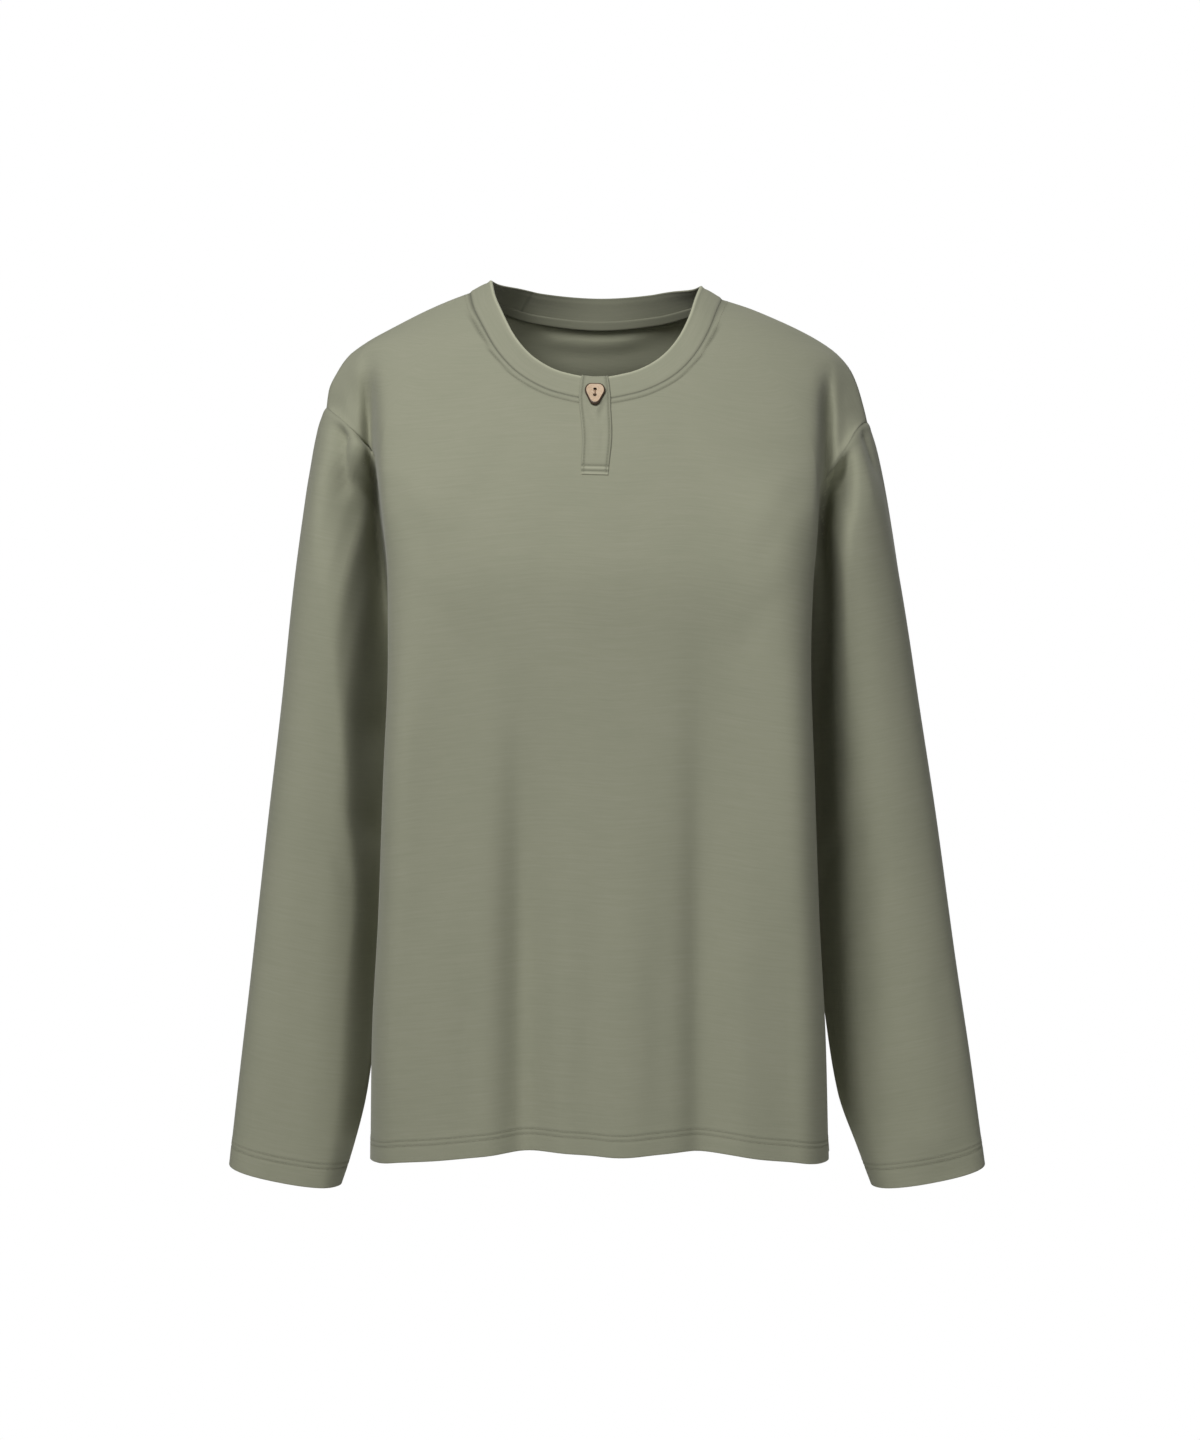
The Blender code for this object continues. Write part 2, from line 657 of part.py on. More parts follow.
def button(place, across, out, finish):
    """A rounded triangular button with two holes, lying on the placket."""
    outline = []
    for corner in (150, 270, 390):
        towards = math.radians(corner)
        centre = np.array([math.cos(towards), math.sin(towards)]) * (BUTTON_RADIUS - BUTTON_CORNER)
        for turn in np.radians(np.linspace(corner - 60, corner + 60, BUTTON_CORNER_STEPS)):
            outline.append(centre + BUTTON_CORNER * np.array([math.cos(turn), math.sin(turn)]))
    outline = np.array(outline) * (1, BUTTON_STRETCH)
    narrow = 1 - BUTTON_BEVEL / BUTTON_RADIUS
    layers = (
        (0, narrow),
        (BUTTON_BEVEL, 1),
        (BUTTON_THICK - BUTTON_BEVEL, 1),
        (BUTTON_THICK, narrow),
    )
    # Neighbouring corners end on parallel tangents, so no two outline points coincide
    count = len(outline)
    points = [(x * scale, y * scale, height) for height, scale in layers for x, y in outline]
    faces = [tuple(reversed(range(count))), tuple(range(3 * count, 4 * count))]
    for low in (0, count, 2 * count):
        for i in range(count):
            j = (i + 1) % count
            faces.append((low + i, low + j, low + count + j, low + count + i))
    made = add_object("button", points, faces, finish)
    for i, height in enumerate((-BUTTON_HOLE_APART / 2, BUTTON_HOLE_APART / 2)):
        bpy.ops.mesh.primitive_cylinder_add(
            vertices=BUTTON_HOLE_SIDES,
            radius=BUTTON_HOLE_RADIUS,
            depth=3 * BUTTON_THICK,
            location=(0, height, BUTTON_THICK / 2),
        )
        cutter = bpy.context.object
        cutter.name = f"button_hole_cutter_{i + 1}"
        cutter.hide_render = True
        cutter.display_type = "WIRE"
        cutter.parent = made
        cut = made.modifiers.new(cutter.name, "BOOLEAN")
        cut.operation = "DIFFERENCE"
        cut.object = cutter
    frame = np.eye(4)
    frame[:3, :3] = np.stack([across, np.cross(out, across), out], axis=1)
    frame[:3, 3] = place
    made.matrix_world = Matrix(frame.tolist())
    return made


def cloth_grids():
    """The outer faces of the panels, the sleeves and the neckband, before the lean."""
    front = draped(*panel_grid(FRONT), FRONT_FOLDS, FRONT_HEM)
    back = draped(*panel_grid(BACK), BACK_FOLDS, BACK_HEM)
    middle = front.shape[1] // 2
    neck_seam = np.concatenate([front[-1, middle + 1 :], back[-1, ::-1][1:-1], front[-1, :middle]])
    return {
        "front": (front, False),
        "back": (back[:, ::-1], False),
        "sleeve_right": (sleeve_grid(SLEEVE_RIGHT, armhole_loop(front, back, "right")), True),
        "sleeve_left": (sleeve_grid(SLEEVE_LEFT, armhole_loop(front, back, "left")), True),
        "neckband": (band_grid(neck_seam), False),
    }


def cloth_pieces(grids, jersey):
    normals = shared_normals(grids)
    front = grids["front"][0]
    middle = front.shape[1] // 2
    cut_rows = [r for r in range(len(front) - 1) if front[r, middle, 2] > SLIT_BOTTOM_Z]
    slit = {(r, c) for r in cut_rows for c in (middle - 1, middle)}
    for name, (grid, closed) in grids.items():
        thick = BAND_WALL if name == "neckband" else WALL
        outer = drawn_back(grid, closed)
        missing = slit if name == "front" else ()
        wall(name, outer, outer - normals[name] * thick, jersey, closed, missing)


def placket_pieces(jersey):
    """The strip over the opening and the one under it; returns the face that the upper lies on."""
    over = lean(front_strip(OVER_HALF_TOP, OVER_HALF_BOTTOM, OVER_BOTTOM_Z))
    strip_on("placket_over", over, SEAM_GAP, SEAM_GAP + STRIP_WALL, jersey)
    under = lean(front_strip(UNDER_HALF, UNDER_HALF, UNDER_BOTTOM_Z))
    deep = np.full(len(under), WALL + SEAM_GAP)
    deep[-BAND_ROWS - 1 :] = BAND_WALL + SEAM_GAP
    deep[-BAND_ROWS - 2] = (WALL + BAND_WALL) / 2 + SEAM_GAP
    strip_on("placket_under", under, -deep - STRIP_WALL, -deep, jersey)
    return over


def neck_tape(back, finish):
    """The tape inside the back neck, on the neckband just above its seam."""
    steps = band_grid(back[-1, 1:-1], TAPE_STEPS)[: TAPE_LAST_STEP + 1]
    clear = BAND_WALL + SEAM_GAP
    strip_on("neck_tape", lean(steps), -clear - TAPE_WALL, -clear, finish)


def place_button(over, finish):
    """Sets the button on the placket, just above the neck seam."""
    seam_row = len(over) - BAND_ROWS - 1
    middle = slice(STRIP_COLUMNS // 2, STRIP_COLUMNS // 2 + 2)
    seam, above = over[seam_row, middle], over[seam_row + 1, middle]
    right, left = seam + (above - seam) * BUTTON_SHARE
    out = unit(grid_normals(over)[seam_row : seam_row + 2, middle].sum((0, 1)))
    across = unit(left - right - out * ((left - right) @ out))
    button((right + left) / 2 + out * (2 * SEAM_GAP + STRIP_WALL), across, out, finish)


def main():
    for old in list(bpy.data.objects):
        bpy.data.objects.remove(old, do_unlink=True)
    jersey = material("sage cotton jersey", GREEN, 0.85)
    grids = cloth_grids()
    back = grids["back"][0]
    cloth_pieces({name: (lean(grid), closed) for name, (grid, closed) in grids.items()}, jersey)
    over = placket_pieces(jersey)
    neck_tape(back, material("sage neck tape", GREEN_DARK, 0.9))
    place_button(over, material("coconut shell", COCONUT, 0.45))


main()
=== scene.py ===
# Long-sleeved henley shirt in slub jersey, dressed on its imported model.
# Every outer face is worked out from short tables in millimetres: the solids' own sections, read finely,
# with folds, troughs, seams, hems, small creases and stitching laid on top.
import math

import bpy
import numpy as np
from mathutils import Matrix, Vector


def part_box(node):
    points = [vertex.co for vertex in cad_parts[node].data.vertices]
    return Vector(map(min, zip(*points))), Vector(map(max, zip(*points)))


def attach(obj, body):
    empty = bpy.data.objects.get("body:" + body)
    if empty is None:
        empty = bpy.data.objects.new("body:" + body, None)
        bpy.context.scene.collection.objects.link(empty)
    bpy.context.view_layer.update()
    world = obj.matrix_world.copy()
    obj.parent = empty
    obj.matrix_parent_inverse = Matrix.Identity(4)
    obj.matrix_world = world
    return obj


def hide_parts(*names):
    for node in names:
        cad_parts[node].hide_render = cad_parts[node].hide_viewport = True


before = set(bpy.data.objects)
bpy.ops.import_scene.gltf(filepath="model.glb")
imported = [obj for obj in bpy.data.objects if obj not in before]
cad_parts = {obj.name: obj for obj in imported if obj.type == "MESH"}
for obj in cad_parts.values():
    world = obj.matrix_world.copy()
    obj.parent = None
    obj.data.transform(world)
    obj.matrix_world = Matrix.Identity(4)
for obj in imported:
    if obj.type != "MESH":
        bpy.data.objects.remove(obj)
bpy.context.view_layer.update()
mm = 0.001


def table(columns, *rows):
    # rows in millimetres or thousandths, as one array for each named column
    names = columns.split()
    return {name: np.array([row[i] for row in rows], float) * mm for i, name in enumerate(names)}


# the form: lengthwise sections, as in the solids
shape = {
    "hemZ": -686 * mm,
    "underarmZ": -250 * mm,
    "tipZ": -104 * mm,  # shoulder tip
    "neckPointZ": -9 * mm,
    "yokeZ": -200 * mm,  # rows bend up to the neckline above this
    "hemWaveHeight": 150 * mm,
    "centreX": -4 * mm,
    "tilt": 0.0265,  # left shoulder hangs lower
    "tiltEndsZ": -420 * mm,
    "tiltFullZ": -160 * mm,
    "lobeShare": 0.7,  # share of a half panel between the centre and the lobe
    "frontFullness": 2.25,
    "backFullness": 2.15,
    "lobeStretch": 0.015,
    "leaveAtArm": 0.35,
    "leaveBelowArm": 0.22,
    "meetAtArm": 0.3,
    "meetBelowArm": 0.55,
    "armFadeTopZ": -210 * mm,
    "armFadeHeight": 60 * mm,
    "rowBend": 2.5,
    "foldSpeed": 1.5,  # folds reach their full depth two thirds of the way to the hem
    "armholeFades": 0.35,
    "sleeveLength": 560 * mm,  # along the sleeve's middle line, for the spacing of its rings
    "neckCentreY": -5 * mm,
    "bandBulge": 0.5 * mm,
}
frontSections = table(
    "z centreY rightX leftX lobeY reach",
    (-686, -117, -181, 180, -22, 1000),
    (-600, -117, -179, 177, -38, 1000),
    (-500, -118, -173, 171, -52, 1000),
    (-400, -120, -169, 167, -62, 1000),
    (-300, -123, -165, 164, -68, 1000),
    (-250, -123, -165, 165, -72, 1000),
    (-200, -117, -169, 169, -74, 1000),
    (-160, -107, -175, 172, -68, 1000),
    (-130, -95, -179, 176, -59, 995),
    (-100, -80, -183, 179, -47, 985),
    (-76, -69, -188, 181, -33, 960),
    (-60, -60, -186, 184, -21, 930),
    (-35, -44, -152, 156, -12, 900),
    (-9, -20, -97, 91, -8, 900),
)
backSections = table(
    "z centreY rightX leftX lobeY reach",
    (-686, 108, -181, 181, 24, 1000),
    (-600, 107, -177, 177, 36, 1000),
    (-500, 109, -172, 171, 48, 1000),
    (-400, 113, -167, 166, 60, 1000),
    (-300, 119, -162, 162, 70, 1000),
    (-250, 122, -163, 163, 78, 1000),
    (-200, 122, -168, 168, 84, 1000),
    (-160, 118, -174, 174, 84, 1000),
    (-130, 112, -178, 178, 76, 990),
    (-100, 103, -181, 181, 60, 970),
    (-76, 94, -185, 182, 40, 950),
    (-60, 86, -184, 184, 26, 930),
    (-35, 73, -150, 154, 14, 900),
    (-9, 48, -98, 92, 4, 900),
)
sideSeam = table(
    "z rightX leftX y",
    (-686, -182, 183, 4),
    (-620, -177, 177, 4),
    (-540, -167, 167, 5),
    (-460, -155, 156, 5),
    (-380, -145, 145, 5),
    (-310, -141, 141, 5),
    (-250, -140, 140, 5),
)
shoulderSeam = table(
    "z rightX leftX y",
    (-104, -219, 214, -4),
    (-90, -217, 210.5, -4),
    (-75, -210, 206, -4),
    (-62, -201, 200, -4),
    (-50, -185, 189.5, -4),
    (-40, -168, 175, -4),
    (-31, -152, 157.5, -4),
    (-23, -136.5, 139, -4),
    (-15, -119, 118, -4),
    (-9, -104, 97.6, -4),
)
# round the armhole: turn 0 at the underarm, 180 at the tip, in thousandths of a degree
armhole = table(
    "turn rightX leftX frontY backY",
    (0, -140, 140, 5, 5),
    (20000, -141, 141, -13, 23),
    (40000, -143, 143, -31, 40),
    (60000, -148, 149, -45, 54),
    (80000, -156, 159, -54, 62),
    (100000, -167, 171, -57, 65),
    (120000, -180, 186, -52, 60),
    (135000, -194, 196, -41, 48),
    (150000, -207, 203, -27, 32),
    (165000, -216, 209.4, -13, 14),
    (180000, -219, 214, -4, -4),
)
neckFront = table(
    "share rightX rightZ leftX leftZ",
    (0, -104, -9, 97.6, -9),
    (140, -101, -21, 93, -20),
    (300, -92.5, -39, 86, -38),
    (480, -79, -62, 72.5, -61.5),
    (650, -61, -80, 54, -79.5),
    (830, -34, -93, 26, -92.5),
    (1000, -4, -98, -4, -98),
    (1170, 26, -92.5, -34, -93),
)
neckBack = table(
    "share rightX rightZ leftX leftZ",
    (0, -104, -9, 97.6, -9),
    (180, -99, -11, 92, -11),
    (380, -84, -15.5, 76, -15),
    (620, -55, -22.5, 48, -21.5),
    (1000, -4, -26.5, -4, -26.5),
    (1380, 48, -21.5, -55, -22.5),
)
bandRise = table(
    "turn inward up",
    (-45000, 15, 15),
    (0, 12, 18),
    (45000, 15, 15),
    (90000, 17.8, 9.8),
    (135000, 12, 19.5),
    (180000, 4.5, 22.5),
    (225000, 12, 19.5),
)
sleeveRight = table(
    "share outerX outerZ innerX innerZ centreY halfDepth pinch sag",
    (0, -219, -104, -140, -250, 5, 61, 650, 0),
    (50, -226, -122, -145.5, -262, 5, 61, 780, 0),
    (120, -232.5, -160, -150.5, -288, 6, 60, 800, 0),
    (250, -242.5, -230, -156, -340, 8, 57, 760, 0),
    (400, -254, -335, -161.5, -414, 10, 52, 550, 0),
    (550, -265.5, -430, -168, -490, 10, 46, 300, 0),
    (700, -276.5, -530, -178, -570, 6, 38, 100, 0),
    (850, -286.5, -617, -187, -646, -2, 29, 0, 1),
    (940, -292, -668, -197.5, -690, -7, 22, 0, 3),
    (1000, -295.5, -702, -207, -719, -10, 18, 0, 5),
)
sleeveLeft = table(
    "share outerX outerZ innerX innerZ centreY halfDepth pinch sag",
    (0, 214, -104, 140, -250, 5, 61, 650, 0),
    (50, 220, -122, 145.5, -262, 5, 61, 780, 0),
    (120, 228, -160, 150.5, -288, 6, 60, 800, 0),
    (250, 239.5, -230, 156, -340, 8, 57, 760, 0),
    (400, 255, -335, 162, -414, 10, 52, 550, 0),
    (550, 269.5, -430, 169, -490, 10, 46, 300, 0),
    (700, 283, -530, 179, -570, 6, 38, 100, 0),
    (850, 295.8, -617, 190.5, -646, -2, 29, 0, 1),
    (940, 302.4, -668, 206, -690, -7, 22, 0, 3),
    (1000, 306.8, -702, 217, -719, -10, 18, 0, 5),
)
# drape folds down to the hem; depth is inwards
frontFolds = table(
    "topX topZ hemX depth rightWidth leftWidth",
    (-60, -270, -62, 19, 15, 32),
    (79, -230, 80, 10, 15, 24),
    (140, -420, 146, 2.4, 16, 10),
    (-10, -450, -6, 3.5, 16, 10),
    (-128, -400, -128, -3.5, 26, 26),
    (-42, -380, -30, -3.5, 20, 20),
    (26, -330, 24, -4.0, 22, 22),
    (104, -400, 104, -3.0, 16, 16),
)
backFolds = table(
    "topX topZ hemX depth rightWidth leftWidth",
    (-104, -340, -112, 6.0, 28, 20),
    (-22, -280, -30, 7.5, 26, 30),
    (58, -360, 66, 5.0, 24, 18),
    (120, -300, 126, 6.0, 20, 24),
    (-66, -380, -70, -3.5, 22, 22),
    (20, -400, 18, -3.0, 24, 24),
    (-146, -420, -150, -2.5, 18, 18),
)
frontHem = table(
    "x rise",
    (-200, -7),
    (-174, -7),
    (-155, -5),
    (-125, -2.6),
    (-90, 0.9),
    (-52, 4.8),
    (-20, 3.4),
    (15, 1.2),
    (45, 3.4),
    (72, 4.9),
    (100, 1.9),
    (125, -2),
    (150, -4.6),
    (174, -7),
    (200, -7),
)
backHem = table(
    "x rise",
    (-200, -7),
    (-174, -7),
    (-140, -3),
    (-106, 3.2),
    (-68, 0.2),
    (-28, 4),
    (20, -0.8),
    (64, 3.2),
    (94, 1),
    (124, 2),
    (148, -3),
    (174, -7),
    (200, -7),
)


def smooth(xs, ys, x):
    # monotone cubic curve through the points, read at x
    order = np.argsort(xs)
    xs, ys = xs[order], ys[order]
    steps = np.diff(xs)
    rises = np.diff(ys) / steps
    slopes = np.concatenate([rises[:1], np.zeros(len(xs) - 2), rises[-1:]])
    sameWay = rises[:-1] * rises[1:] > 0
    riseBefore = np.where(sameWay, rises[:-1], 1)
    riseAfter = np.where(sameWay, rises[1:], 1)
    before = 2 * steps[1:] + steps[:-1]
    after = steps[1:] + 2 * steps[:-1]
    slopes[1:-1] = np.where(sameWay, (before + after) / (before / riseBefore + after / riseAfter), 0)
    x = np.clip(x, xs[0], xs[-1])
    i = np.clip(np.searchsorted(xs, x) - 1, 0, len(steps) - 1)
    t = (x - xs[i]) / steps[i]
    return (
        ys[i] * (1 + 2 * t) * (1 - t) ** 2
        + ys[i + 1] * t**2 * (3 - 2 * t)
        + steps[i] * (slopes[i] * t * (1 - t) ** 2 + slopes[i + 1] * t**2 * (t - 1))
    )


def ease(x):
    x = np.clip(x, 0, 1)
    return x * x * (3 - 2 * x)


def groove(distance, at, width):
    return np.exp(-(((distance - at) / width) ** 2))


def unit(vectors):
    return vectors / np.maximum(np.linalg.norm(vectors, axis=-1, keepdims=True), 1e-12)


def bezier(start, leave, meet, end, v):
    u = 1 - v
    return u**3 * start + 3 * u**2 * v * leave + 3 * u * v**2 * meet + v**3 * end


def seamEdge(panel, side, z):
    # x and y of a panel's side edge: side seam, armhole, shoulder seam
    middle = (shape["underarmZ"] + shape["tipZ"]) / 2
    half = (shape["tipZ"] - shape["underarmZ"]) / 2
    turn = np.degrees(np.arccos(np.clip((middle - z) / half, -1, 1)))
    found = []
    for name, armName in ((side + "X", side + "X"), ("y", "frontY" if panel is frontSections else "backY")):
        low = smooth(sideSeam["z"], sideSeam[name], z)
        arm = smooth(armhole["turn"], armhole[armName], turn)
        high = smooth(shoulderSeam["z"], shoulderSeam[name], z)
        found.append(np.where(z <= shape["underarmZ"], low, np.where(z >= shape["tipZ"], high, arm)))
    return found


def bulge(q, fullness):
    return 1 - (1 - np.clip(q, 0, 1) ** fullness) ** (1 / fullness)


def halfSection(panel, side, z, share):
    # points of half a panel: share 0 at the centre line, lobeShare at the lobe, 1 at the seam
    isFront = panel is frontSections
    fullness = shape["frontFullness"] if isFront else shape["backFullness"]
    rearwards = 1 if isFront else -1
    centreY, lobeX, lobeY, reach = (
        smooth(panel["z"], panel[name], z) for name in ("centreY", side + "X", "lobeY", "reach")
    )
    edgeX, edgeY = seamEdge(panel, side, z)

    def depth(q):
        return bulge(q * reach, fullness) / bulge(reach, fullness)

    lobe = shape["lobeShare"]
    q = np.clip(share / lobe, 0, 1)
    chestX = shape["centreX"] + (lobeX - shape["centreX"]) * q
    chestY = centreY + (lobeY - centreY) * depth(q)
    stepX = (lobeX - shape["centreX"]) * shape["lobeStretch"]
    stepY = (lobeY - centreY) * (1 - depth(1 - shape["lobeStretch"]))
    width = np.hypot(edgeX - lobeX, edgeY - lobeY)
    below = ease((shape["armFadeTopZ"] - z) / shape["armFadeHeight"])
    leave = width * (shape["leaveAtArm"] + (shape["leaveBelowArm"] - shape["leaveAtArm"]) * below)
    leave = leave / np.hypot(stepX, stepY)
    meet = shape["meetAtArm"] * (1 - below)
    meetX = edgeX - (edgeX - lobeX) * meet
    meetY = edgeY - (edgeY - lobeY) * meet - rearwards * width * shape["meetBelowArm"] * below
    v = np.clip((share - lobe) / (1 - lobe), 0, 1)
    flankX = bezier(lobeX, lobeX + stepX * leave, meetX, edgeX, v)
    flankY = bezier(lobeY, lobeY + stepY * leave, meetY, edgeY, v)
    x = np.where(share <= lobe, chestX, flankX)
    y = np.where(share <= lobe, chestY, flankY)
    return np.stack([x, y, z + 0 * share], -1)


def bodyPoint(panel, w, z):
    w, z = np.broadcast_arrays(np.asarray(w, float), np.asarray(z, float))
    right = halfSection(panel, "right", z, np.abs(w))
    left = halfSection(panel, "left", z, np.abs(w))
    return np.where((w > 0)[..., None], left, right)


def shareAt(panel, side, x, z, samples=801):
    shares = np.linspace(0, 1, samples)
    section = halfSection(panel, side, np.full(samples, float(z)), shares)
    return np.interp(abs(x - shape["centreX"]), np.abs(section[:, 0] - shape["centreX"]), shares)


def neckline(panel, side, share):
    # w and z of the neck seam, from the shoulder (share 0) to the centre line (share 1)
    rows = neckFront if panel is frontSections else neckBack
    xs = smooth(rows["share"], rows[side + "X"], share)
    zs = smooth(rows["share"], rows[side + "Z"], share)
    found = np.array([shareAt(panel, side, x, z) for x, z in zip(xs, zs)])
    found = np.where(share <= 0, 1, np.where(share >= 1, 0, found))
    return (found if side == "left" else -found), zs


def gridNormals(grid, closed=False):
    if closed:
        along = np.roll(grid, -1, 1) - np.roll(grid, 1, 1)
    else:
        along = np.gradient(grid, axis=1)
    return unit(np.cross(along, np.gradient(grid, axis=0)))


def lean(points):
    points = np.array(points, float)
    share = ease((points[..., 2] - shape["tiltEndsZ"]) / (shape["tiltFullZ"] - shape["tiltEndsZ"]))
    points[..., 2] -= shape["tilt"] * points[..., 0] * share
    return points


# how the front differs from the solid's oval; shares are of a half panel, from its centre line
frontSquareness = {
    "rightDepth": 9 * mm,
    "leftDepth": 15 * mm,
    "share": 0.6,
    "width": 0.15,
    "topZ": -130 * mm,
    "fadeHeight": 60 * mm,
    "edgeDepth": 16 * mm,  # a second, sharper corner just before the side
    "edgeShare": 0.68,
    "edgeWidth": 0.1,
    "edgeTopZ": -170 * mm,
    "edgeFadeHeight": 220 * mm,
    "seamFade": 0.1,
    "roundness": 5 * mm,  # the chest stands this much fuller than the belly
    "roundZ": -235 * mm,
    "roundHeight": 55 * mm,
    "roundShare": 0.66,
    "roundFade": 0.3,
}
# where the panels' edges turn sharply, the rows are evened out
evening = {"height": 14 * mm, "seamFade": 0.05, "passes": 90}
# spacing of rows and columns, closer at seams, hems and rolled edges; rows in mm from the edge
grids = {
    "chestColumns": 56,
    "chestPower": 1.35,
    "flankColumns": 18,
    "nearSeam": (0.055, 0.034, 0.02, 0.009),  # shares of the flank, beside the seam
    "hemRows": (
        (0, 0.15, 0.4, 0.8, 1.4, 2.5, 4.5, 7, 9.5, 11.3, 12.2)
        + (13, 13.8, 14.6, 15.4, 16.2, 17, 17.8, 18.8, 20.5, 23, 26)
    ),
    "sideRows": 92,
    "armRows": 50,
    "shoulderRows": 24,
    "nearNeck": (0.075, 0.06, 0.052, 0.045, 0.038, 0.03, 0.021, 0.013, 0.006),
    "sleeveRings": 138,
    "nearArmhole": (0, 0.7, 1.5, 2.5, 4, 6, 8.5),
    "cuffRows": (
        (28, 25, 23, 21.6, 20.8, 20, 19.2, 18.4, 17.6, 16.8, 16, 15.2)
        + (14.2, 12, 9.5, 6.5, 4, 2.2, 1.2, 0.7, 0.35, 0.12, 0)
    ),
    "bandShares": (0, 0.03, 0.07, 0.13, 0.2, 0.3, 0.42, 0.54, 0.66, 0.77, 0.86, 0.92, 0.955, 0.977, 0.99, 1),
    "stripShares": (0, 0.12, 0.26, 0.4, 0.54, 0.68, 0.8, 0.88, 0.93, 0.965, 0.985, 1),
}


def shareColumns():
    lobe = shape["lobeShare"]
    chest = (1 - np.linspace(1, 0, grids["chestColumns"] + 1) ** grids["chestPower"]) * lobe
    flank = np.linspace(0, 1 - grids["nearSeam"][0], grids["flankColumns"])[1:]
    flank = np.concatenate([flank, 1 - np.array(grids["nearSeam"][1:]), [1]])
    return np.concatenate([chest, lobe + (1 - lobe) * flank])


def edgeLevels():
    hem = shape["hemZ"] + np.array(grids["hemRows"]) * mm
    side = np.linspace(hem[-1], shape["underarmZ"], grids["sideRows"] + 1)[1:]
    turn = np.linspace(0, math.pi, grids["armRows"] + 1)[1:]
    arm = (shape["underarmZ"] + shape["tipZ"]) / 2 - (shape["tipZ"] - shape["underarmZ"]) / 2 * np.cos(turn)
    yoke = shape["neckPointZ"] - shape["yokeZ"]
    near = shape["neckPointZ"] - np.array(grids["nearNeck"]) * yoke
    shoulder = np.linspace(shape["tipZ"], near[0], grids["shoulderRows"] + 1)[1:]
    return np.concatenate([hem, side, arm, shoulder, near[1:], [shape["neckPointZ"]]])


firstArmRow = len(grids["hemRows"]) - 1 + grids["sideRows"]


def panelGrid(panel):
    shares = shareColumns()
    lowW = np.concatenate([-shares[::-1], shares[1:]])
    rightW, rightZ = neckline(panel, "right", 1 - shares[::-1])
    leftW, leftZ = neckline(panel, "left", 1 - shares[1:])
    topW = np.concatenate([rightW, leftW])
    topZ = np.concatenate([rightZ, leftZ])
    level = edgeLevels()[:, None]
    rise = np.clip((level - shape["yokeZ"]) / (shape["neckPointZ"] - shape["yokeZ"]), 0, 1)
    z = np.where(rise > 0, shape["yokeZ"] + rise * (topZ - shape["yokeZ"]), level)
    w = lowW + rise ** shape["rowBend"] * (topW - lowW)
    return bodyPoint(panel, w, z), lowW


def draped(grid, lowW, folds, hem):
    inside = ease((1 - np.abs(lowW)) / (1 - shape["lobeShare"]))
    depth = np.zeros(grid.shape[:2])
    for topX, topZ, hemX, deep, rightWidth, leftWidth in zip(*folds.values()):
        run = np.clip((topZ - grid[..., 2]) / (topZ - shape["hemZ"]), 0, 1)
        off = grid[..., 0] - topX - (hemX - topX) * run
        width = np.where(off < 0, rightWidth, leftWidth)
        depth += deep * ease(shape["foldSpeed"] * run) * np.exp(-((off / width) ** 2))
    moved = grid - gridNormals(grid) * (depth * inside)[..., None]
    nearHem = ease((shape["hemZ"] + shape["hemWaveHeight"] - grid[..., 2]) / shape["hemWaveHeight"])
    moved[..., 2] += nearHem * smooth(hem["x"], hem["rise"], grid[..., 0])
    return moved


def squared(grid, lowW):
    # the front lies flatter towards its sides than the solid's oval, and turns there more sharply
    size = frontSquareness
    share = np.abs(lowW)
    z = grid[..., 2]
    moved = grid.copy()
    depth = np.where(lowW > 0, size["leftDepth"], size["rightDepth"])
    gain = depth * groove(share, size["share"], size["width"])
    moved[..., 1] -= gain * ease((size["topZ"] - z) / size["fadeHeight"])
    corner = size["edgeDepth"] * groove(share, size["edgeShare"], size["edgeWidth"])
    below = ease((size["edgeTopZ"] - z) / size["edgeFadeHeight"])
    moved[..., 1] -= corner * below * ease((1 - share) / size["seamFade"])
    chest = groove(z, size["roundZ"], size["roundHeight"])
    moved[..., 1] -= size["roundness"] * chest * ease((size["roundShare"] - share) / size["roundFade"])
    return moved


def evened(grid, lowW):
    # smooths across the rows at the levels of the shoulder tip and the underarm
    levels = (shape["tipZ"], shape["underarmZ"])
    weight = sum(groove(grid[..., 2], level, evening["height"]) for level in levels)
    weight = weight * ease((1 - np.abs(lowW)) / evening["seamFade"])
    moved = grid.copy()
    for _ in range(evening["passes"]):
        between = (moved[:-2] + 2 * moved[1:-1] + moved[2:]) / 4
        moved[1:-1] += (between - moved[1:-1]) * weight[1:-1, :, None]
    return moved


def pulledBack(grid, rows):
    # troughs that take the armhole seam with them, straight back
    moved = grid.copy()
    moved[..., 1] += creases(np.zeros(grid.shape[:2]), grid[..., 0], grid[..., 2], rows)
    return moved


def armholeLoop(front, back, side):
    rows = slice(firstArmRow, firstArmRow + grids["armRows"] + 1)
    column = -1 if side == "left" else 0
    loop = np.concatenate([front[rows, column], back[rows, column][-2:0:-1]])
    return loop[::-1] if side == "left" else loop


def sleeveRing(rows, share, turn):
    at = {name: smooth(rows["share"], rows[name], share) for name in rows}
    outer = np.array([at["outerX"], at["centreY"], at["outerZ"]])
    inner = np.array([at["innerX"], at["centreY"], at["innerZ"]])
    pinch = at["pinch"] * np.clip(-np.cos(turn), 0, 1) ** 2
    ring = (outer + inner) / 2 + np.cos(turn)[:, None] * (outer - inner) / 2
    ring[:, 1] += np.sin(turn) * (1 - pinch) * at["halfDepth"]
    ring[:, 2] -= at["sag"] * np.abs(np.sin(turn))
    return ring


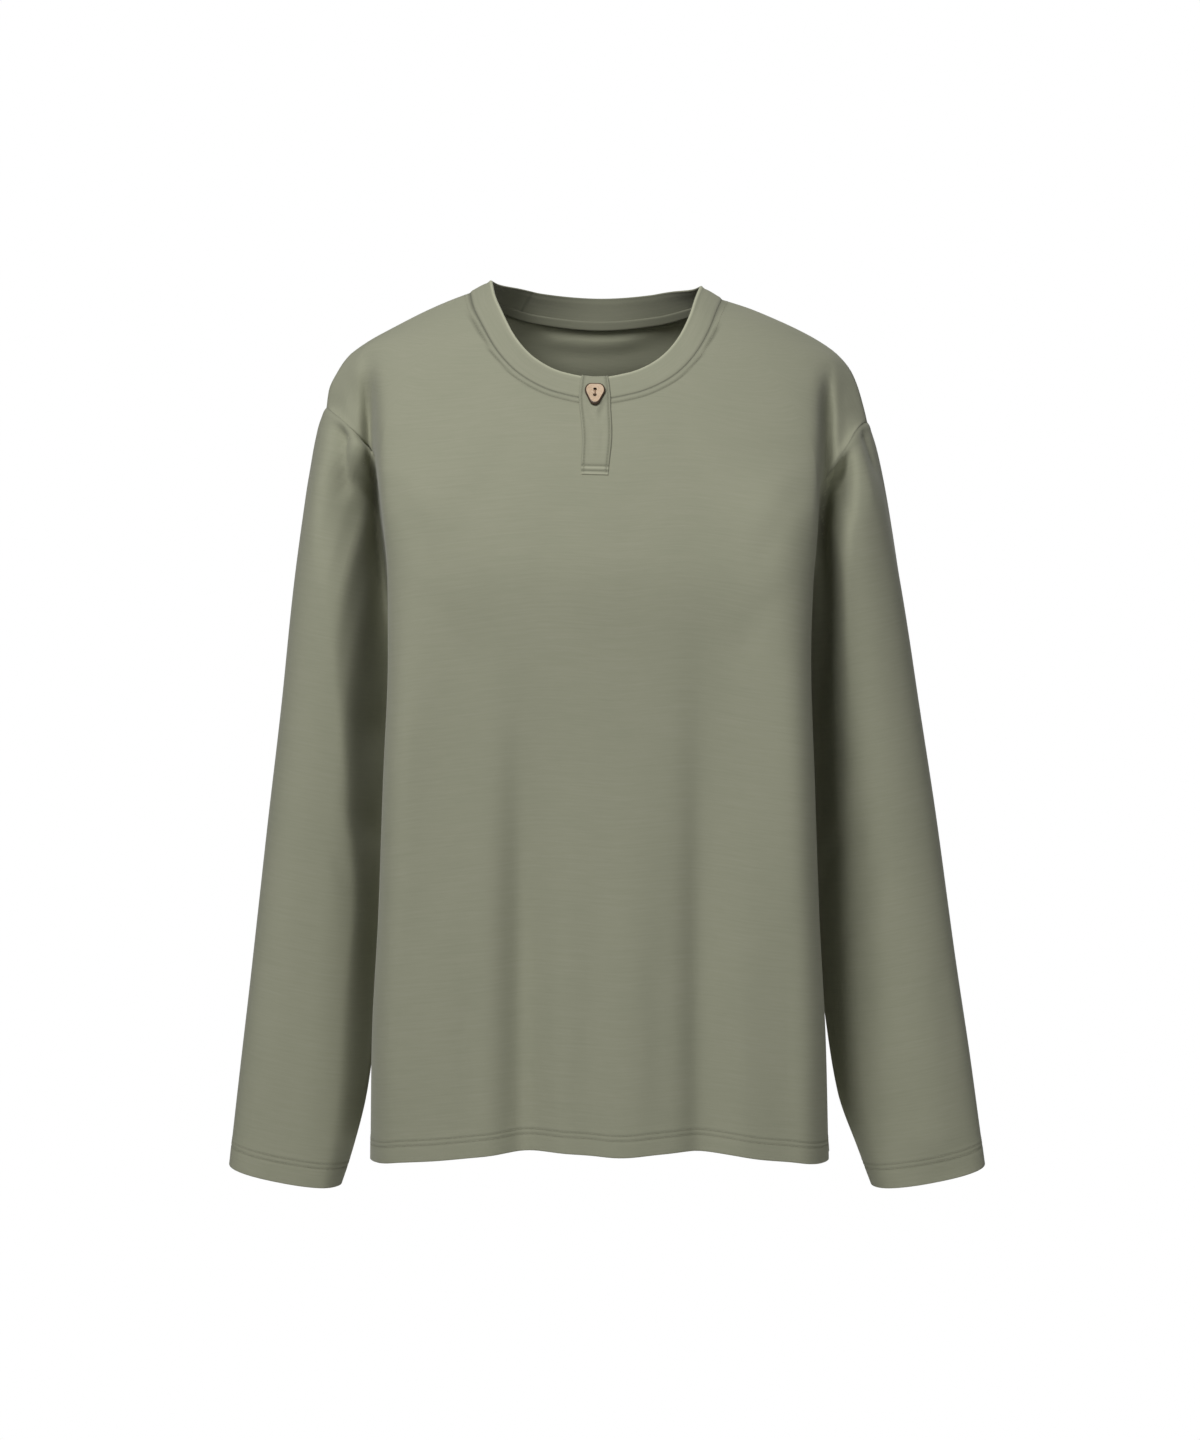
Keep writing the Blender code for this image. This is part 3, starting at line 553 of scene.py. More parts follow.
def sleeveGrid(rows, loop):
    outer = np.array([rows["outerX"][0], rows["centreY"][0], rows["outerZ"][0]])
    inner = np.array([rows["innerX"][0], rows["centreY"][0], rows["innerZ"][0]])
    middle = (outer + inner) / 2
    arm = outer - middle
    across = (loop - middle) @ arm / (arm @ arm)
    turn = np.arctan2((loop[:, 1] - middle[1]) / rows["halfDepth"][0], across)
    rest = loop - sleeveRing(rows, 0, turn)
    length = shape["sleeveLength"]
    near = np.array(grids["nearArmhole"]) * mm / length
    cuff = 1 - np.array(grids["cuffRows"]) * mm / length
    between = np.linspace(near[-1], cuff[0], grids["sleeveRings"] + 2)[1:-1]
    rings = [loop]
    for share in np.concatenate([near[1:], between, cuff]):
        rings.append(sleeveRing(rows, share, turn) + rest * (1 - ease(share / shape["armholeFades"])))
    return np.array(rings), turn


def bandGrid(seam, shares):
    inwards = unit(np.array([shape["centreX"], shape["neckCentreY"]]) - seam[:, :2])
    turn = np.degrees(np.arccos(np.clip(inwards[:, 1], -1, 1)))
    inward = smooth(bandRise["turn"], bandRise["inward"], turn)[:, None]
    up = smooth(bandRise["turn"], bandRise["up"], turn)[:, None]
    rise = np.concatenate([inwards * inward, up], axis=1)
    out = unit(np.concatenate([-inwards * up, inward], axis=1))
    return np.array([seam + rise * v + out * shape["bandBulge"] * math.sin(math.pi * v) for v in shares])


def lengths(grid, axis):
    # distance along the rows or columns of a grid from its first one
    steps = np.linalg.norm(np.diff(grid, axis=axis), axis=-1)
    start = np.zeros_like(np.take(steps, [0], axis=axis))
    return np.concatenate([start, np.cumsum(steps, axis=axis)], axis=axis)


def creases(depth, x, z, rows, fadeIn=0.3, fadeOut=0.35):
    # adds soft troughs (depth inwards) along bowed lines, fading over these shares at both ends
    for startX, startZ, endX, endZ, bow, width, deep in zip(*rows.values()):
        run = np.array([endX - startX, endZ - startZ])
        length = np.hypot(*run)
        t = ((x - startX) * run[0] + (z - startZ) * run[1]) / length**2
        off = ((x - startX) * run[1] - (z - startZ) * run[0]) / length - bow * 4 * t * (1 - t)
        fade = ease(t / fadeIn) * ease((1 - t) / fadeOut)
        depth += deep * fade * np.exp(-((off / width) ** 2))
    return depth


def linear(hexColour, alpha=1.0):
    values = [int(hexColour[i : i + 2], 16) / 255 for i in (1, 3, 5)]
    values = [v / 12.92 if v <= 0.04045 else ((v + 0.055) / 1.055) ** 2.4 for v in values]
    return (*values, alpha)


def addNode(tree, kind, settings=None, inputs=None):
    node = tree.nodes.new(kind)
    for name, value in (settings or {}).items():
        setattr(node, name, value)
    for name, value in (inputs or {}).items():
        if isinstance(value, bpy.types.NodeSocket):
            tree.links.new(value, node.inputs[name])
        else:
            node.inputs[name].default_value = value
    return node


def newMaterial(name):
    made = bpy.data.materials.new(name)
    made.use_nodes = True
    made.node_tree.nodes.clear()
    return made, made.node_tree


jerseyLook = {
    "dark": "#989a85",
    "mid": "#9c9d88",
    "light": "#a0a08c",
    "slubLength": 15,  # mm along the courses
    "slubThick": 1.1,  # mm; the real 0.5 mm slub is too fine to show, so it is drawn coarser
    "barsLonger": 3,  # the fainter bars of thicker yarn, against the slub
    "barsThicker": 1.8,
    "mottle": 60,  # mm
    "mottleShare": 0.7,
    "levels": (0.85, 1.85),  # the summed noises here are darkest and lightest
    "course": 1.2,  # mm; real courses are 0.6 mm apart, drawn coarser to show
    "courseShare": 0.5,
    "relief": 0.0002,  # m, of the slub and the courses
    "roughness": 0.92,
    "sheen": 0.18,
    "seamShade": 0.36,  # how dark the painted shade in seams and stitch lines gets, and how light the painted highlights
}


def slubJersey(name, look, shade=1.0):
    # slub cotton jersey, piece-dyed: matt, with short thick-and-thin streaks along the courses and
    # a soft bloom where light grazes it
    # shade scales the whole colour: above 1 it paints light, below 1 it paints shade, for lit and shaded
    # copies
    made, tree = newMaterial(name)
    multiply = {"operation": "MULTIPLY"}
    place = addNode(tree, "ShaderNodeAttribute", {"attribute_name": "cloth"}).outputs["Vector"]
    slubScale = (1000 / look["slubLength"], 1000 / look["slubThick"], 1)
    barScale = (slubScale[0] / look["barsLonger"], slubScale[1] / look["barsThicker"], 1)
    mottleScale = (1000 / look["mottle"], 1000 / look["mottle"], 1)
    courseScale = (1000 / look["course"], 1000 / look["course"], 1)
    noises = []
    for scale, detail, roughness in (
        (slubScale, 2.5, 0.6),
        (barScale, 1.0, 0.5),
        (mottleScale, 3.0, 0.55),
        (courseScale, 1.0, 0.5),
    ):
        scaled = addNode(tree, "ShaderNodeVectorMath", multiply, {0: place, 1: scale}).outputs[0]
        inputs = {"Vector": scaled, "Scale": 1.0, "Detail": detail, "Roughness": roughness}
        noises.append(addNode(tree, "ShaderNodeTexNoise", {}, inputs).outputs["Fac"])
    slub, bars, mottle, loops = noises
    addUp = {"operation": "MULTIPLY_ADD"}
    both = addNode(tree, "ShaderNodeMath", {"operation": "ADD"}, {0: slub, 1: bars}).outputs[0]
    summed = addNode(tree, "ShaderNodeMath", addUp, {0: mottle, 1: look["mottleShare"], 2: both}).outputs[0]
    darkest, lightest = look["levels"]
    inputs = {"Value": summed, "From Min": darkest, "From Max": lightest}
    level = addNode(tree, "ShaderNodeMapRange", {}, inputs)
    ramp = addNode(tree, "ShaderNodeValToRGB", {}, {"Fac": level.outputs[0]})
    ramp.color_ramp.elements[0].color = linear(look["dark"])
    ramp.color_ramp.elements[1].color = linear(look["light"])
    middle = ramp.color_ramp.elements.new(0.5)
    middle.color = linear(look["mid"])
    # the third value of the cloth's place is painted shade along seams and stitch lines, or, where it is
    # below zero, a painted highlight on rolled edges and ridges
    lines = addNode(tree, "ShaderNodeSeparateXYZ", {}, {0: place}).outputs["Z"]
    kept = addNode(tree, "ShaderNodeMath", addUp, {0: lines, 1: -look["seamShade"] * shade, 2: shade})
    tone = addNode(
        tree,
        "ShaderNodeMix",
        {"data_type": "RGBA", "blend_type": "MULTIPLY"},
        {0: 1.0, 6: ramp.outputs["Color"], 7: kept.outputs[0]},
    )
    height = addNode(tree, "ShaderNodeMath", addUp, {0: loops, 1: look["courseShare"], 2: both}).outputs[0]
    inputs = {"Strength": 0.2, "Distance": look["relief"], "Height": height}
    bump = addNode(tree, "ShaderNodeBump", {}, inputs)
    shader = addNode(tree, "ShaderNodeBsdfPrincipled", {}, {
        "Base Color": tone.outputs[2],
        "Roughness": look["roughness"],
        "Specular IOR Level": 0.2,
        "Sheen Weight": look["sheen"],
        "Sheen Roughness": 0.5,
        "Normal": bump.outputs["Normal"],
    })
    addNode(tree, "ShaderNodeOutputMaterial", {}, {"Surface": shader.outputs[0]})
    return made


def sewingThread(name, colour):
    # spun polyester sewing thread, dyed to match: a little smoother and brighter than the jersey
    made, tree = newMaterial(name)
    place = addNode(tree, "ShaderNodeTexCoord").outputs["Object"]
    # fuzz of about 1 mm
    fuzz = addNode(tree, "ShaderNodeTexNoise", {}, {"Vector": place, "Scale": 900.0, "Detail": 2.0})
    ramp = addNode(tree, "ShaderNodeValToRGB", {}, {"Fac": fuzz.outputs["Fac"]})
    ramp.color_ramp.elements[0].color = linear(colour[0])
    ramp.color_ramp.elements[1].color = linear(colour[1])
    shader = addNode(tree, "ShaderNodeBsdfPrincipled", {}, {
        "Base Color": ramp.outputs["Color"],
        "Roughness": 0.6,
        "Specular IOR Level": 0.35,
        "Sheen Weight": 0.1,
    })
    addNode(tree, "ShaderNodeOutputMaterial", {}, {"Surface": shader.outputs[0]})
    return made


def coconutShell(name, dark, light, roughness):
    # coconut shell, cut, bored and tumble-polished: fine darker fibres along one way under a soft gloss
    made, tree = newMaterial(name)
    place = addNode(tree, "ShaderNodeTexCoord").outputs["Object"]
    fibreScale = (2600, 2600, 700)  # fibres 0.4 mm wide and 1.4 mm long
    fibres = addNode(tree, "ShaderNodeVectorMath", {"operation": "MULTIPLY"}, {0: place, 1: fibreScale})
    inputs = {"Vector": fibres.outputs[0], "Scale": 1.0, "Detail": 4.0, "Roughness": 0.65}
    grain = addNode(tree, "ShaderNodeTexNoise", {}, inputs).outputs["Fac"]
    ramp = addNode(tree, "ShaderNodeValToRGB", {}, {"Fac": grain})
    ramp.color_ramp.elements[0].position = 0.3
    ramp.color_ramp.elements[0].color = linear(dark)
    ramp.color_ramp.elements[1].position = 0.68
    ramp.color_ramp.elements[1].color = linear(light)
    bump = addNode(tree, "ShaderNodeBump", {}, {"Strength": 0.25, "Distance": 0.0001, "Height": grain})
    shader = addNode(tree, "ShaderNodeBsdfPrincipled", {}, {
        "Base Color": ramp.outputs["Color"],
        "Roughness": roughness,
        "Normal": bump.outputs["Normal"],
    })
    addNode(tree, "ShaderNodeOutputMaterial", {}, {"Surface": shader.outputs[0]})
    return made


jersey = slubJersey("slub cotton jersey, piece-dyed sage", jerseyLook)
# the jersey's wrong side, painted lighter to stand in for the light that reaches inside the neck
wrongSidePaintedLight = slubJersey("slub cotton jersey, wrong side, painted lighter, sage", jerseyLook, 1.22)
# the neckband's inside, painted darker as the shade it stands in
bandInsidePaintedShade = slubJersey("slub cotton jersey, folded neckband inside, sage", jerseyLook, 0.72)
# the neck tape, painted darker to take back the light it catches facing upward
ribTapePaintedShade = slubJersey("jersey tape, painted shade, sage", {**jerseyLook, "slubThick": 1.0, "slubLength": 12}, 0.66)
thread = sewingThread("spun polyester thread, sage", ("#83846f", "#a3a38d"))
buttonThread = sewingThread("spun polyester thread, brown", ("#8f6f57", "#b08e72"))
shellFace = coconutShell("coconut shell, polished face", "#b3906f", "#ecd6ba", 0.42)
shellRim = coconutShell("coconut shell, dark rind", "#2e2015", "#54402d", 0.5)
print("materials made")


def addMesh(name, points, faces, materials, cloth=None, faceSlots=None):
    mesh = bpy.data.meshes.new(name)
    mesh.from_pydata(np.asarray(points).tolist(), [], [tuple(int(v) for v in face) for face in faces])
    mesh.shade_smooth()
    for material in materials:
        mesh.materials.append(material)
    if faceSlots is not None:
        mesh.polygons.foreach_set("material_index", np.asarray(faceSlots, np.int32))
    if cloth is not None:
        attribute = mesh.attributes.new("cloth", "FLOAT_VECTOR", "POINT")
        attribute.data.foreach_set("vector", np.asarray(cloth, np.float32).ravel())
    made = bpy.data.objects.new(name, mesh)
    bpy.context.scene.collection.objects.link(made)
    return made


def shell(name, outer, inner, cloth, materials, closed=False, missing=None, innerCloth=None):
    # one closed thin wall between two grids: its right side, its wrong side and a rim
    rows, count = outer.shape[:2]
    total = rows * count
    r, c = np.meshgrid(np.arange(rows - 1), np.arange(count if closed else count - 1), indexing="ij")
    keep = np.ones(r.shape, bool) if missing is None else ~missing
    r, c = r[keep], c[keep]
    right = (c + 1) % count
    quads = np.stack([r * count + c, r * count + right, (r + 1) * count + right, (r + 1) * count + c], 1)
    edges = np.concatenate([quads[:, [i, (i + 1) % 4]] for i in range(4)])
    isBorder = ~np.isin(edges[:, 1] * total + edges[:, 0], edges[:, 0] * total + edges[:, 1])
    a, b = edges[isBorder].T
    rim = np.stack([b, a, a + total, b + total], 1)
    faces = np.concatenate([quads, quads[:, ::-1] + total, rim])
    slots = np.zeros(len(faces), int)
    slots[len(quads) : 2 * len(quads)] = len(materials) - 1
    used, faces = np.unique(faces, return_inverse=True)
    points = np.concatenate([outer.reshape(-1, 3), inner.reshape(-1, 3)])[used]
    innerCloth = cloth if innerCloth is None else innerCloth
    flat = np.concatenate([cloth.reshape(-1, 3), innerCloth.reshape(-1, 3)])[used]
    return addMesh(name, points, faces.reshape(-1, 4), materials, flat, slots)


def place(piece, node, slot):
    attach(piece, "root")
    if node:
        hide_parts(node)


def roll(distance, thickness, closing=0.94):
    # how far a folded edge rounds in, on each face of the cloth; it closes this far at the very edge
    t = np.clip(distance / (thickness / 2), 0, 1)
    return thickness / 2 * closing * (1 - np.sqrt(1 - (1 - t) ** 2))


# the cloth of the panels and sleeves
cloth = {
    "thickness": 0.9 * mm,
    "hemThickness": 1.9 * mm,
    "hemDepth": 19 * mm,  # height of the turned-up hem
    "cuffDepth": 22 * mm,
    "hemStep": 1.5 * mm,  # over which the cloth thickens at a hem's top
    "hemOut": 0.25 * mm,  # how far the doubled cloth stands out
    "seamDip": 0.55 * mm,  # how deep the cloth dips into a seam
    "seamWidth": 1.5 * mm,
    "neckDip": 0.4 * mm,
    "neckDipWidth": 1.1 * mm,
    "neckRidgeAt": 2.6 * mm,
    "neckRidgeWidth": 1.3 * mm,
    "seamRidge": 0.35 * mm,  # the allowance pressed behind the seam
    "seamRidgeAt": 4.5 * mm,
    "seamRidgeWidth": 2.5 * mm,
    "stitchDip": 0.35 * mm,
    "stitchDipWidth": 0.9 * mm,
    "hemStitches": (13 * mm, 17 * mm),
    "cuffStitches": (16 * mm, 20 * mm),
    "neckStitch": 4.6 * mm,
    # painted shade along the seams and the hem and cuff stitching, and the width of its lines
    "seamShade": 0.25,  # against the neck seam's, which is 1
    "hemShade": 0.4,
    "shadeWidth": 0.9 * mm,
    "slitHalf": 5 * mm,
    "slitBottomZ": -152 * mm,
}
# a crease is a line from start to end, bowed, with its width and depth (inwards)
creaseColumns = "startX startZ endX endZ bow width depth"
frontCreases = table(
    creaseColumns,
    (-60, -108, -104, -196, -4, 11, 0.8),
    (52, -108, 92, -180, 4, 12, 0.7),
    (-176, -150, -120, -262, -10, 12, 1.6),
    (172, -150, 118, -250, 8, 12, 1.5),
    (-150, -236, -92, -330, -8, 14, 1.1),
    (146, -240, 100, -318, 6, 13, 1.0),
    (-30, -165, -44, -300, 3, 16, 0.6),
    (18, -165, 36, -280, -3, 15, 0.6),
    (-140, -470, -150, -640, 2, 10, 0.9),
    (-104, -540, -98, -700, 1, 9, 1.1),
    (40, -500, 46, -690, -2, 10, 0.9),
    (98, -560, 100, -700, 1, 9, 1.0),
    (150, -470, 156, -650, -2, 10, 1.0),
    (-20, -600, -18, -700, 1, 9, 0.8),
)
# those that run on into the armhole seams
armholeCreases = {
    "front": table(
        creaseColumns,
        (-212, -84, -198, -134, 0, 6, 1.6),
        (203, -92, 193, -146, 1, 6, 1.6),
    ),
    "back": table(
        creaseColumns,
        (-186, -60, -168, -180, 3, 8, 5.0),
        (182, -64, 166, -176, -3, 8, 4.4),
    ),
}
backCreases = table(
    creaseColumns,
    (-66, -30, 58, -30, 8, 8, 2.6),
    (-100, -46, 92, -46, 36, 16, -5),
    (-70, -48, -110, -150, -5, 13, 1.0),
    (64, -48, 106, -140, 5, 13, 0.9),
    (-172, -140, -112, -250, -10, 14, 1.8),
    (170, -146, 120, -270, 9, 14, 1.6),
    (-140, -250, -70, -350, -8, 15, 1.4),
    (136, -246, 80, -330, 7, 15, 1.3),
    (-20, -90, -26, -230, 2, 18, 0.8),
    (24, -96, 18, -220, -2, 16, 0.6),
    (-50, -500, -54, -690, 2, 10, 1.0),
    (92, -540, 96, -700, -1, 9, 1.1),
    (-136, -480, -142, -680, 2, 10, 1.0),
    (14, -560, 10, -700, 1, 9, 0.8),
)
# creases of the sleeves: turn in degrees (0 outer side, -90 front, 90 behind), along in mm from the armhole
rightSleeveCreases = table(
    creaseColumns,
    (-33, -14, -62, 60, 1, 7, 10.5),
    (-50, -10, -72, 44, 1, 5, -5.0),
    (-12, 6, -18, 70, 1, 7, 0.9),
    (108, 4, 74, 96, 4, 9, 3.0),
    (-150, 120, -104, 200, 6, 12, 1.6),
    (-150, 210, -96, 262, 5, 12, 1.5),
    (-140, 280, -84, 318, 4, 11, 1.1),
    (120, 90, 70, 170, 6, 13, 1.8),
    (150, 190, 80, 240, 6, 13, 2.0),
    (140, 256, 66, 300, 5, 12, 1.7),
    (150, 320, 90, 352, 4, 11, 1.3),
    (-60, 400, -48, 500, 2, 9, 0.7),
    (40, 380, 52, 510, -2, 10, 0.8),
)
leftSleeveCreases = table(
    creaseColumns,
    (-46, -10, -76, 44, 1, 6, 3.6),
    (-34, -4, -54, 60, 1, 6, -1.2),
    (-20, -8, -28, 46, 1, 4, 1.8),
    (112, 2, 80, 84, 4, 9, 2.8),
    (-150, 140, -100, 214, 6, 12, 1.5),
    (-146, 226, -92, 276, 5, 12, 1.6),
    (-140, 300, -80, 332, 4, 11, 1.0),
    (116, 80, 66, 156, 6, 13, 1.7),
    (148, 180, 76, 226, 6, 13, 1.9),
    (140, 244, 70, 292, 5, 12, 1.8),
    (146, 310, 84, 344, 4, 11, 1.2),
    (-56, 410, -46, 505, 2, 9, 0.8),
    (44, 390, 54, 500, -2, 10, 0.8),
)

# where the front of a sleeve falls back to the body: along from the armhole, turn and run in thousandths of
# a degree, and the share of the depth kept at its inner side
sleeveFall = {
    "sleeve_right": table(
        "along turn run depth keep",
        (0, 50000, 38000, 0, 300),
        (10, 46000, 40000, 10, 300),
        (28, 35000, 62000, 36, 300),
        (45, 31000, 74000, 56, 320),
        (60, 32000, 80000, 61, 360),
        (75, 36000, 82000, 61, 420),
        (92, 42000, 84000, 57, 520),
        (110, 50000, 82000, 51, 660),
        (130, 59000, 78000, 45, 820),
        (172, 74000, 68000, 37, 1000),
        (236, 98000, 48000, 30, 1000),
        (296, 118000, 34000, 28, 1000),
        (370, 120000, 40000, 19, 1000),
        (470, 128000, 40000, 10, 1000),
        (640, 140000, 38000, 2, 1000),
    ),
    "sleeve_left": table(
        "along turn run depth keep",
        (0, 46000, 28000, 0, 500),
        (10, 45000, 26000, 19, 500),
        (20, 50000, 27000, 27, 500),
        (40, 61000, 29000, 30, 500),
        (64, 72000, 32000, 28, 600),
        (89, 80000, 34000, 26, 800),
        (111, 87000, 36000, 24, 1000),
        (151, 96000, 38000, 20, 1000),
        (218, 107000, 38000, 17, 1000),
        (288, 115000, 42000, 14, 1000),
        (363, 122000, 46000, 11, 1000),
        (470, 133000, 42000, 6, 1000),
        (640, 140000, 38000, 2, 1000),
    ),
}

# the deep troughs between the chest and the arms, which run on over the fronts of the sleeves
armTroughs = table(
    creaseColumns,
    (-185, -50, -174, -300, 0, 6, 26),
    (-194, -64, -186, -200, 0, 10, 8),
    (181, -54, 176, -240, 0, 5, 17),
    (190, -62, 186, -200, 0, 11, 8),
)
front, lowW = panelGrid(frontSections)
back, _ = panelGrid(backSections)
front = draped(squared(evened(front, lowW), lowW), lowW, frontFolds, frontHem)
back = draped(evened(back, lowW), lowW, backFolds, backHem)
middle = front.shape[1] // 2
rightGrid, rightTurn = sleeveGrid(sleeveRight, armholeLoop(front, back, "right"))
leftGrid, leftTurn = sleeveGrid(sleeveLeft, armholeLoop(front, back, "left"))
front = pulledBack(front, armTroughs)
rightGrid[:, rightTurn < 0] = pulledBack(rightGrid[:, rightTurn < 0], armTroughs)
leftGrid[:, leftTurn < 0] = pulledBack(leftGrid[:, leftTurn < 0], armTroughs)
neckSeam = np.concatenate([front[-1, middle + 1 :], back[-1, ::-1][1:-1], front[-1, :middle]])
band = bandGrid(neckSeam, grids["bandShares"])
surfaces = {
    "front": (lean(front), False),
    "back": (lean(back[:, ::-1]), False),
    "sleeve_right": (lean(rightGrid), True),
    "sleeve_left": (lean(leftGrid), True),
    "neckband": (lean(band), False),
}


def pointKey(point, tolerance=2e-6):
    # the same for points that meet within the tolerance, in metres
    return tuple(np.round(point / tolerance).astype(int))


def sharedNormals(surfaces):
    # unit normals, the same for pieces where they are sewn together
    normals = {name: gridNormals(grid, closed) for name, (grid, closed) in surfaces.items()}
    total = {}
    borders = {}
    for name, (grid, closed) in surfaces.items():
        mask = np.zeros(grid.shape[:2], bool)
        mask[[0, -1]] = True
        if not closed:
            mask[:, [0, -1]] = True
        borders[name] = np.argwhere(mask)
        for r, c in borders[name]:
            key = pointKey(grid[r, c])
            total[key] = total.get(key, 0) + normals[name][r, c]
    for name, (grid, closed) in surfaces.items():
        for r, c in borders[name]:
            key = pointKey(grid[r, c])
            normals[name][r, c] = unit(total[key])
    return normals


normals = sharedNormals(surfaces)
print("form worked out:", {name: grid.shape[:2] for name, (grid, _) in surfaces.items()})


def seamRelief(distance):
    # inward depth beside a seam: a dip at the seam, a low ridge over the pressed allowance
    dip = cloth["seamDip"] * groove(distance, 0, cloth["seamWidth"])
    return dip - cloth["seamRidge"] * groove(distance, cloth["seamRidgeAt"], cloth["seamRidgeWidth"])


def stitchRelief(distance, rows):
    return sum(cloth["stitchDip"] * groove(distance, at, cloth["stitchDipWidth"]) for at in rows)


def shadeAt(distance, rows, width=cloth["shadeWidth"]):
    # share of painted shade, or painted highlight where subtracted, along lines at these distances
    return np.clip(sum(groove(distance, at, width) for at in rows), 0, 1)


def neckRelief(distance):
    dip = cloth["neckDip"] * groove(distance, 0, cloth["neckDipWidth"])
    ridge = cloth["seamRidge"] / 2 * groove(distance, cloth["neckRidgeAt"], cloth["neckRidgeWidth"])
    return dip - ridge


def walls(grid, normal, depth, distance, hemDepth):
    # the two faces of the cloth, thicker and rounded at a turned-up hem
    isHem = ease((hemDepth - distance) / cloth["hemStep"] + 0.5)
    thickness = cloth["thickness"] + (cloth["hemThickness"] - cloth["thickness"]) * isHem
    rounded = roll(distance, cloth["hemThickness"])
    outer = grid - normal * (depth - cloth["hemOut"] * isHem + rounded)[..., None]
    inner = grid - normal * (depth - cloth["hemOut"] * isHem + thickness - rounded)[..., None]
    return outer, inner


# how far from their edges the panels' relief and painted shade fade in
panelFades = {
    "neckSeam": 6 * mm,
    "neckStitches": 3 * mm,
    "neckShade": 2 * mm,
    "creasesFromSide": 30 * mm,
    "creasesFromNeck": 14 * mm,
    "armholeCreases": 5 * mm,
}


def makePanel(name, creaseRows):
    grid, _ = surfaces[name]
    normal = normals[name]
    across = lengths(grid, 1)
    toSide = np.minimum(across, across[:, -1:] - across)
    fromHem = lengths(grid, 0)
    toNeck = fromHem[-1:] - fromHem
    depth = seamRelief(toSide) + neckRelief(toNeck) * ease(toSide / panelFades["neckSeam"])
    depth += stitchRelief(fromHem, cloth["hemStitches"])
    depth += stitchRelief(toNeck, (cloth["neckStitch"],)) * ease(toSide / panelFades["neckStitches"])
    fade = ease(toSide / panelFades["creasesFromSide"]) * ease(toNeck / panelFades["creasesFromNeck"])
    depth += creases(np.zeros_like(depth), grid[..., 0], grid[..., 2], creaseRows) * fade
    atArmhole = creases(np.zeros_like(depth), grid[..., 0], grid[..., 2], armholeCreases[name])
    depth += atArmhole * ease(toSide / panelFades["armholeCreases"])
    outer, inner = walls(grid, normal, depth, fromHem, cloth["hemDepth"])
    missing = None
    if name == "front":
        centre = (grid[:-1, :-1] + grid[1:, 1:]) / 2
        inSlit = np.abs(centre[..., 0] - shape["centreX"]) < cloth["slitHalf"]
        missing = inSlit & (centre[..., 2] > cloth["slitBottomZ"])
    # painted shade along the neck seam and its stitching, the side and armhole seams and the hem stitching
    shade = shadeAt(toNeck, (0, cloth["neckStitch"])) * ease(toSide / panelFades["neckShade"])
    hemShade = cloth["hemShade"] * shadeAt(fromHem, cloth["hemStitches"])
    shade = np.maximum(shade, cloth["seamShade"] * shadeAt(toSide, (0,)) + hemShade)
    flatPlace = np.stack([across - across[:, middle : middle + 1], fromHem, np.clip(shade, 0, 1)], -1)
    made = shell(name, outer, inner, flatPlace, (jersey, wrongSidePaintedLight), missing=missing)
    place(made, name, "jersey")
    return {"outer": outer, "normal": normal, "fromHem": fromHem, "toNeck": toNeck}


# forms of the sleeves on top of their sections; turns in degrees
sleeveSizes = {
    "squareness": 7.5 * mm,  # how much fuller than an oval the outer front is
    "squareFadeIn": 60 * mm,
    "squareAtCuff": 0.4,
    "cuffLength": 200 * mm,
    "creasesFromSeam": 10 * mm,
    "creasesFromCuff": 40 * mm,
    "returnTurn": 115,  # where a fallen front comes back to the inner side, and over how many degrees
    "returnRun": 60,
    "leftFullness": 6 * mm,  # the left sleeve stands this much fuller beside the body
    "leftTurn": 80,
    "leftWidth": 26,
    "leftFadeIn": 90 * mm,
}


def makeSleeve(name, creaseRows, turn):
    grid, _ = surfaces[name]
    normal = normals[name]
    along = lengths(grid, 0)
    toCuff = along[-1:] - along
    degrees = np.degrees(turn)[None, :] + np.zeros_like(along)
    size = sleeveSizes
    depth = seamRelief(along) + stitchRelief(toCuff, cloth["cuffStitches"])
    fade = ease(toCuff / size["creasesFromCuff"])
    creased = creases(np.zeros_like(depth), degrees * mm, along, creaseRows)
    depth += creased * fade * ease(along / size["creasesFromSeam"])
    fall = sleeveFall[name]
    start, run, deep, keep = (
        smooth(fall["along"], fall[column], along) for column in ("turn", "run", "depth", "keep")
    )
    comesBack = ease((np.abs(degrees) - size["returnTurn"]) / size["returnRun"])
    inFront = ease((-start - degrees) / run) * (1 - (1 - keep) * comesBack)
    fallen = deep * np.where(degrees < 0, inFront, keep * comesBack)
    if name == "sleeve_left":
        fuller = size["leftFullness"] * groove(-degrees, size["leftTurn"], size["leftWidth"])
        fallen = fallen - fuller * ease(along / size["leftFadeIn"]) * fade
    grid = grid + fallen[..., None] * (0, 1, 0)
    square = np.where((degrees < 0) & (degrees > -90), np.sin(np.radians(2 * degrees)) ** 2, 0)
    toWrist = size["squareAtCuff"] + (1 - size["squareAtCuff"]) * ease(toCuff / size["cuffLength"])
    depth -= size["squareness"] * square * ease(along / size["squareFadeIn"]) * toWrist
    outer, inner = walls(grid, normal, depth, toCuff, cloth["cuffDepth"])
    around = lengths(np.concatenate([grid, grid[:, :1]], 1), 1)[:, :-1]
    # painted shade along the armhole seam and the cuff stitching
    cuffShade = cloth["hemShade"] * shadeAt(toCuff, cloth["cuffStitches"])
    flatPlace = np.stack([around, -toCuff, cloth["seamShade"] * shadeAt(along, (0,)) + cuffShade], -1)
    made = shell(name, outer, inner, flatPlace, (jersey, wrongSidePaintedLight), closed=True)
    place(made, name, "jersey")
    return {"outer": outer, "normal": normal, "toCuff": toCuff}


frontSheet = makePanel("front", frontCreases)
backSheet = makePanel("back", backCreases)
rightSheet = makeSleeve("sleeve_right", rightSleeveCreases, rightTurn)
leftSheet = makeSleeve("sleeve_left", leftSleeveCreases, leftTurn)
print("panels and sleeves made")

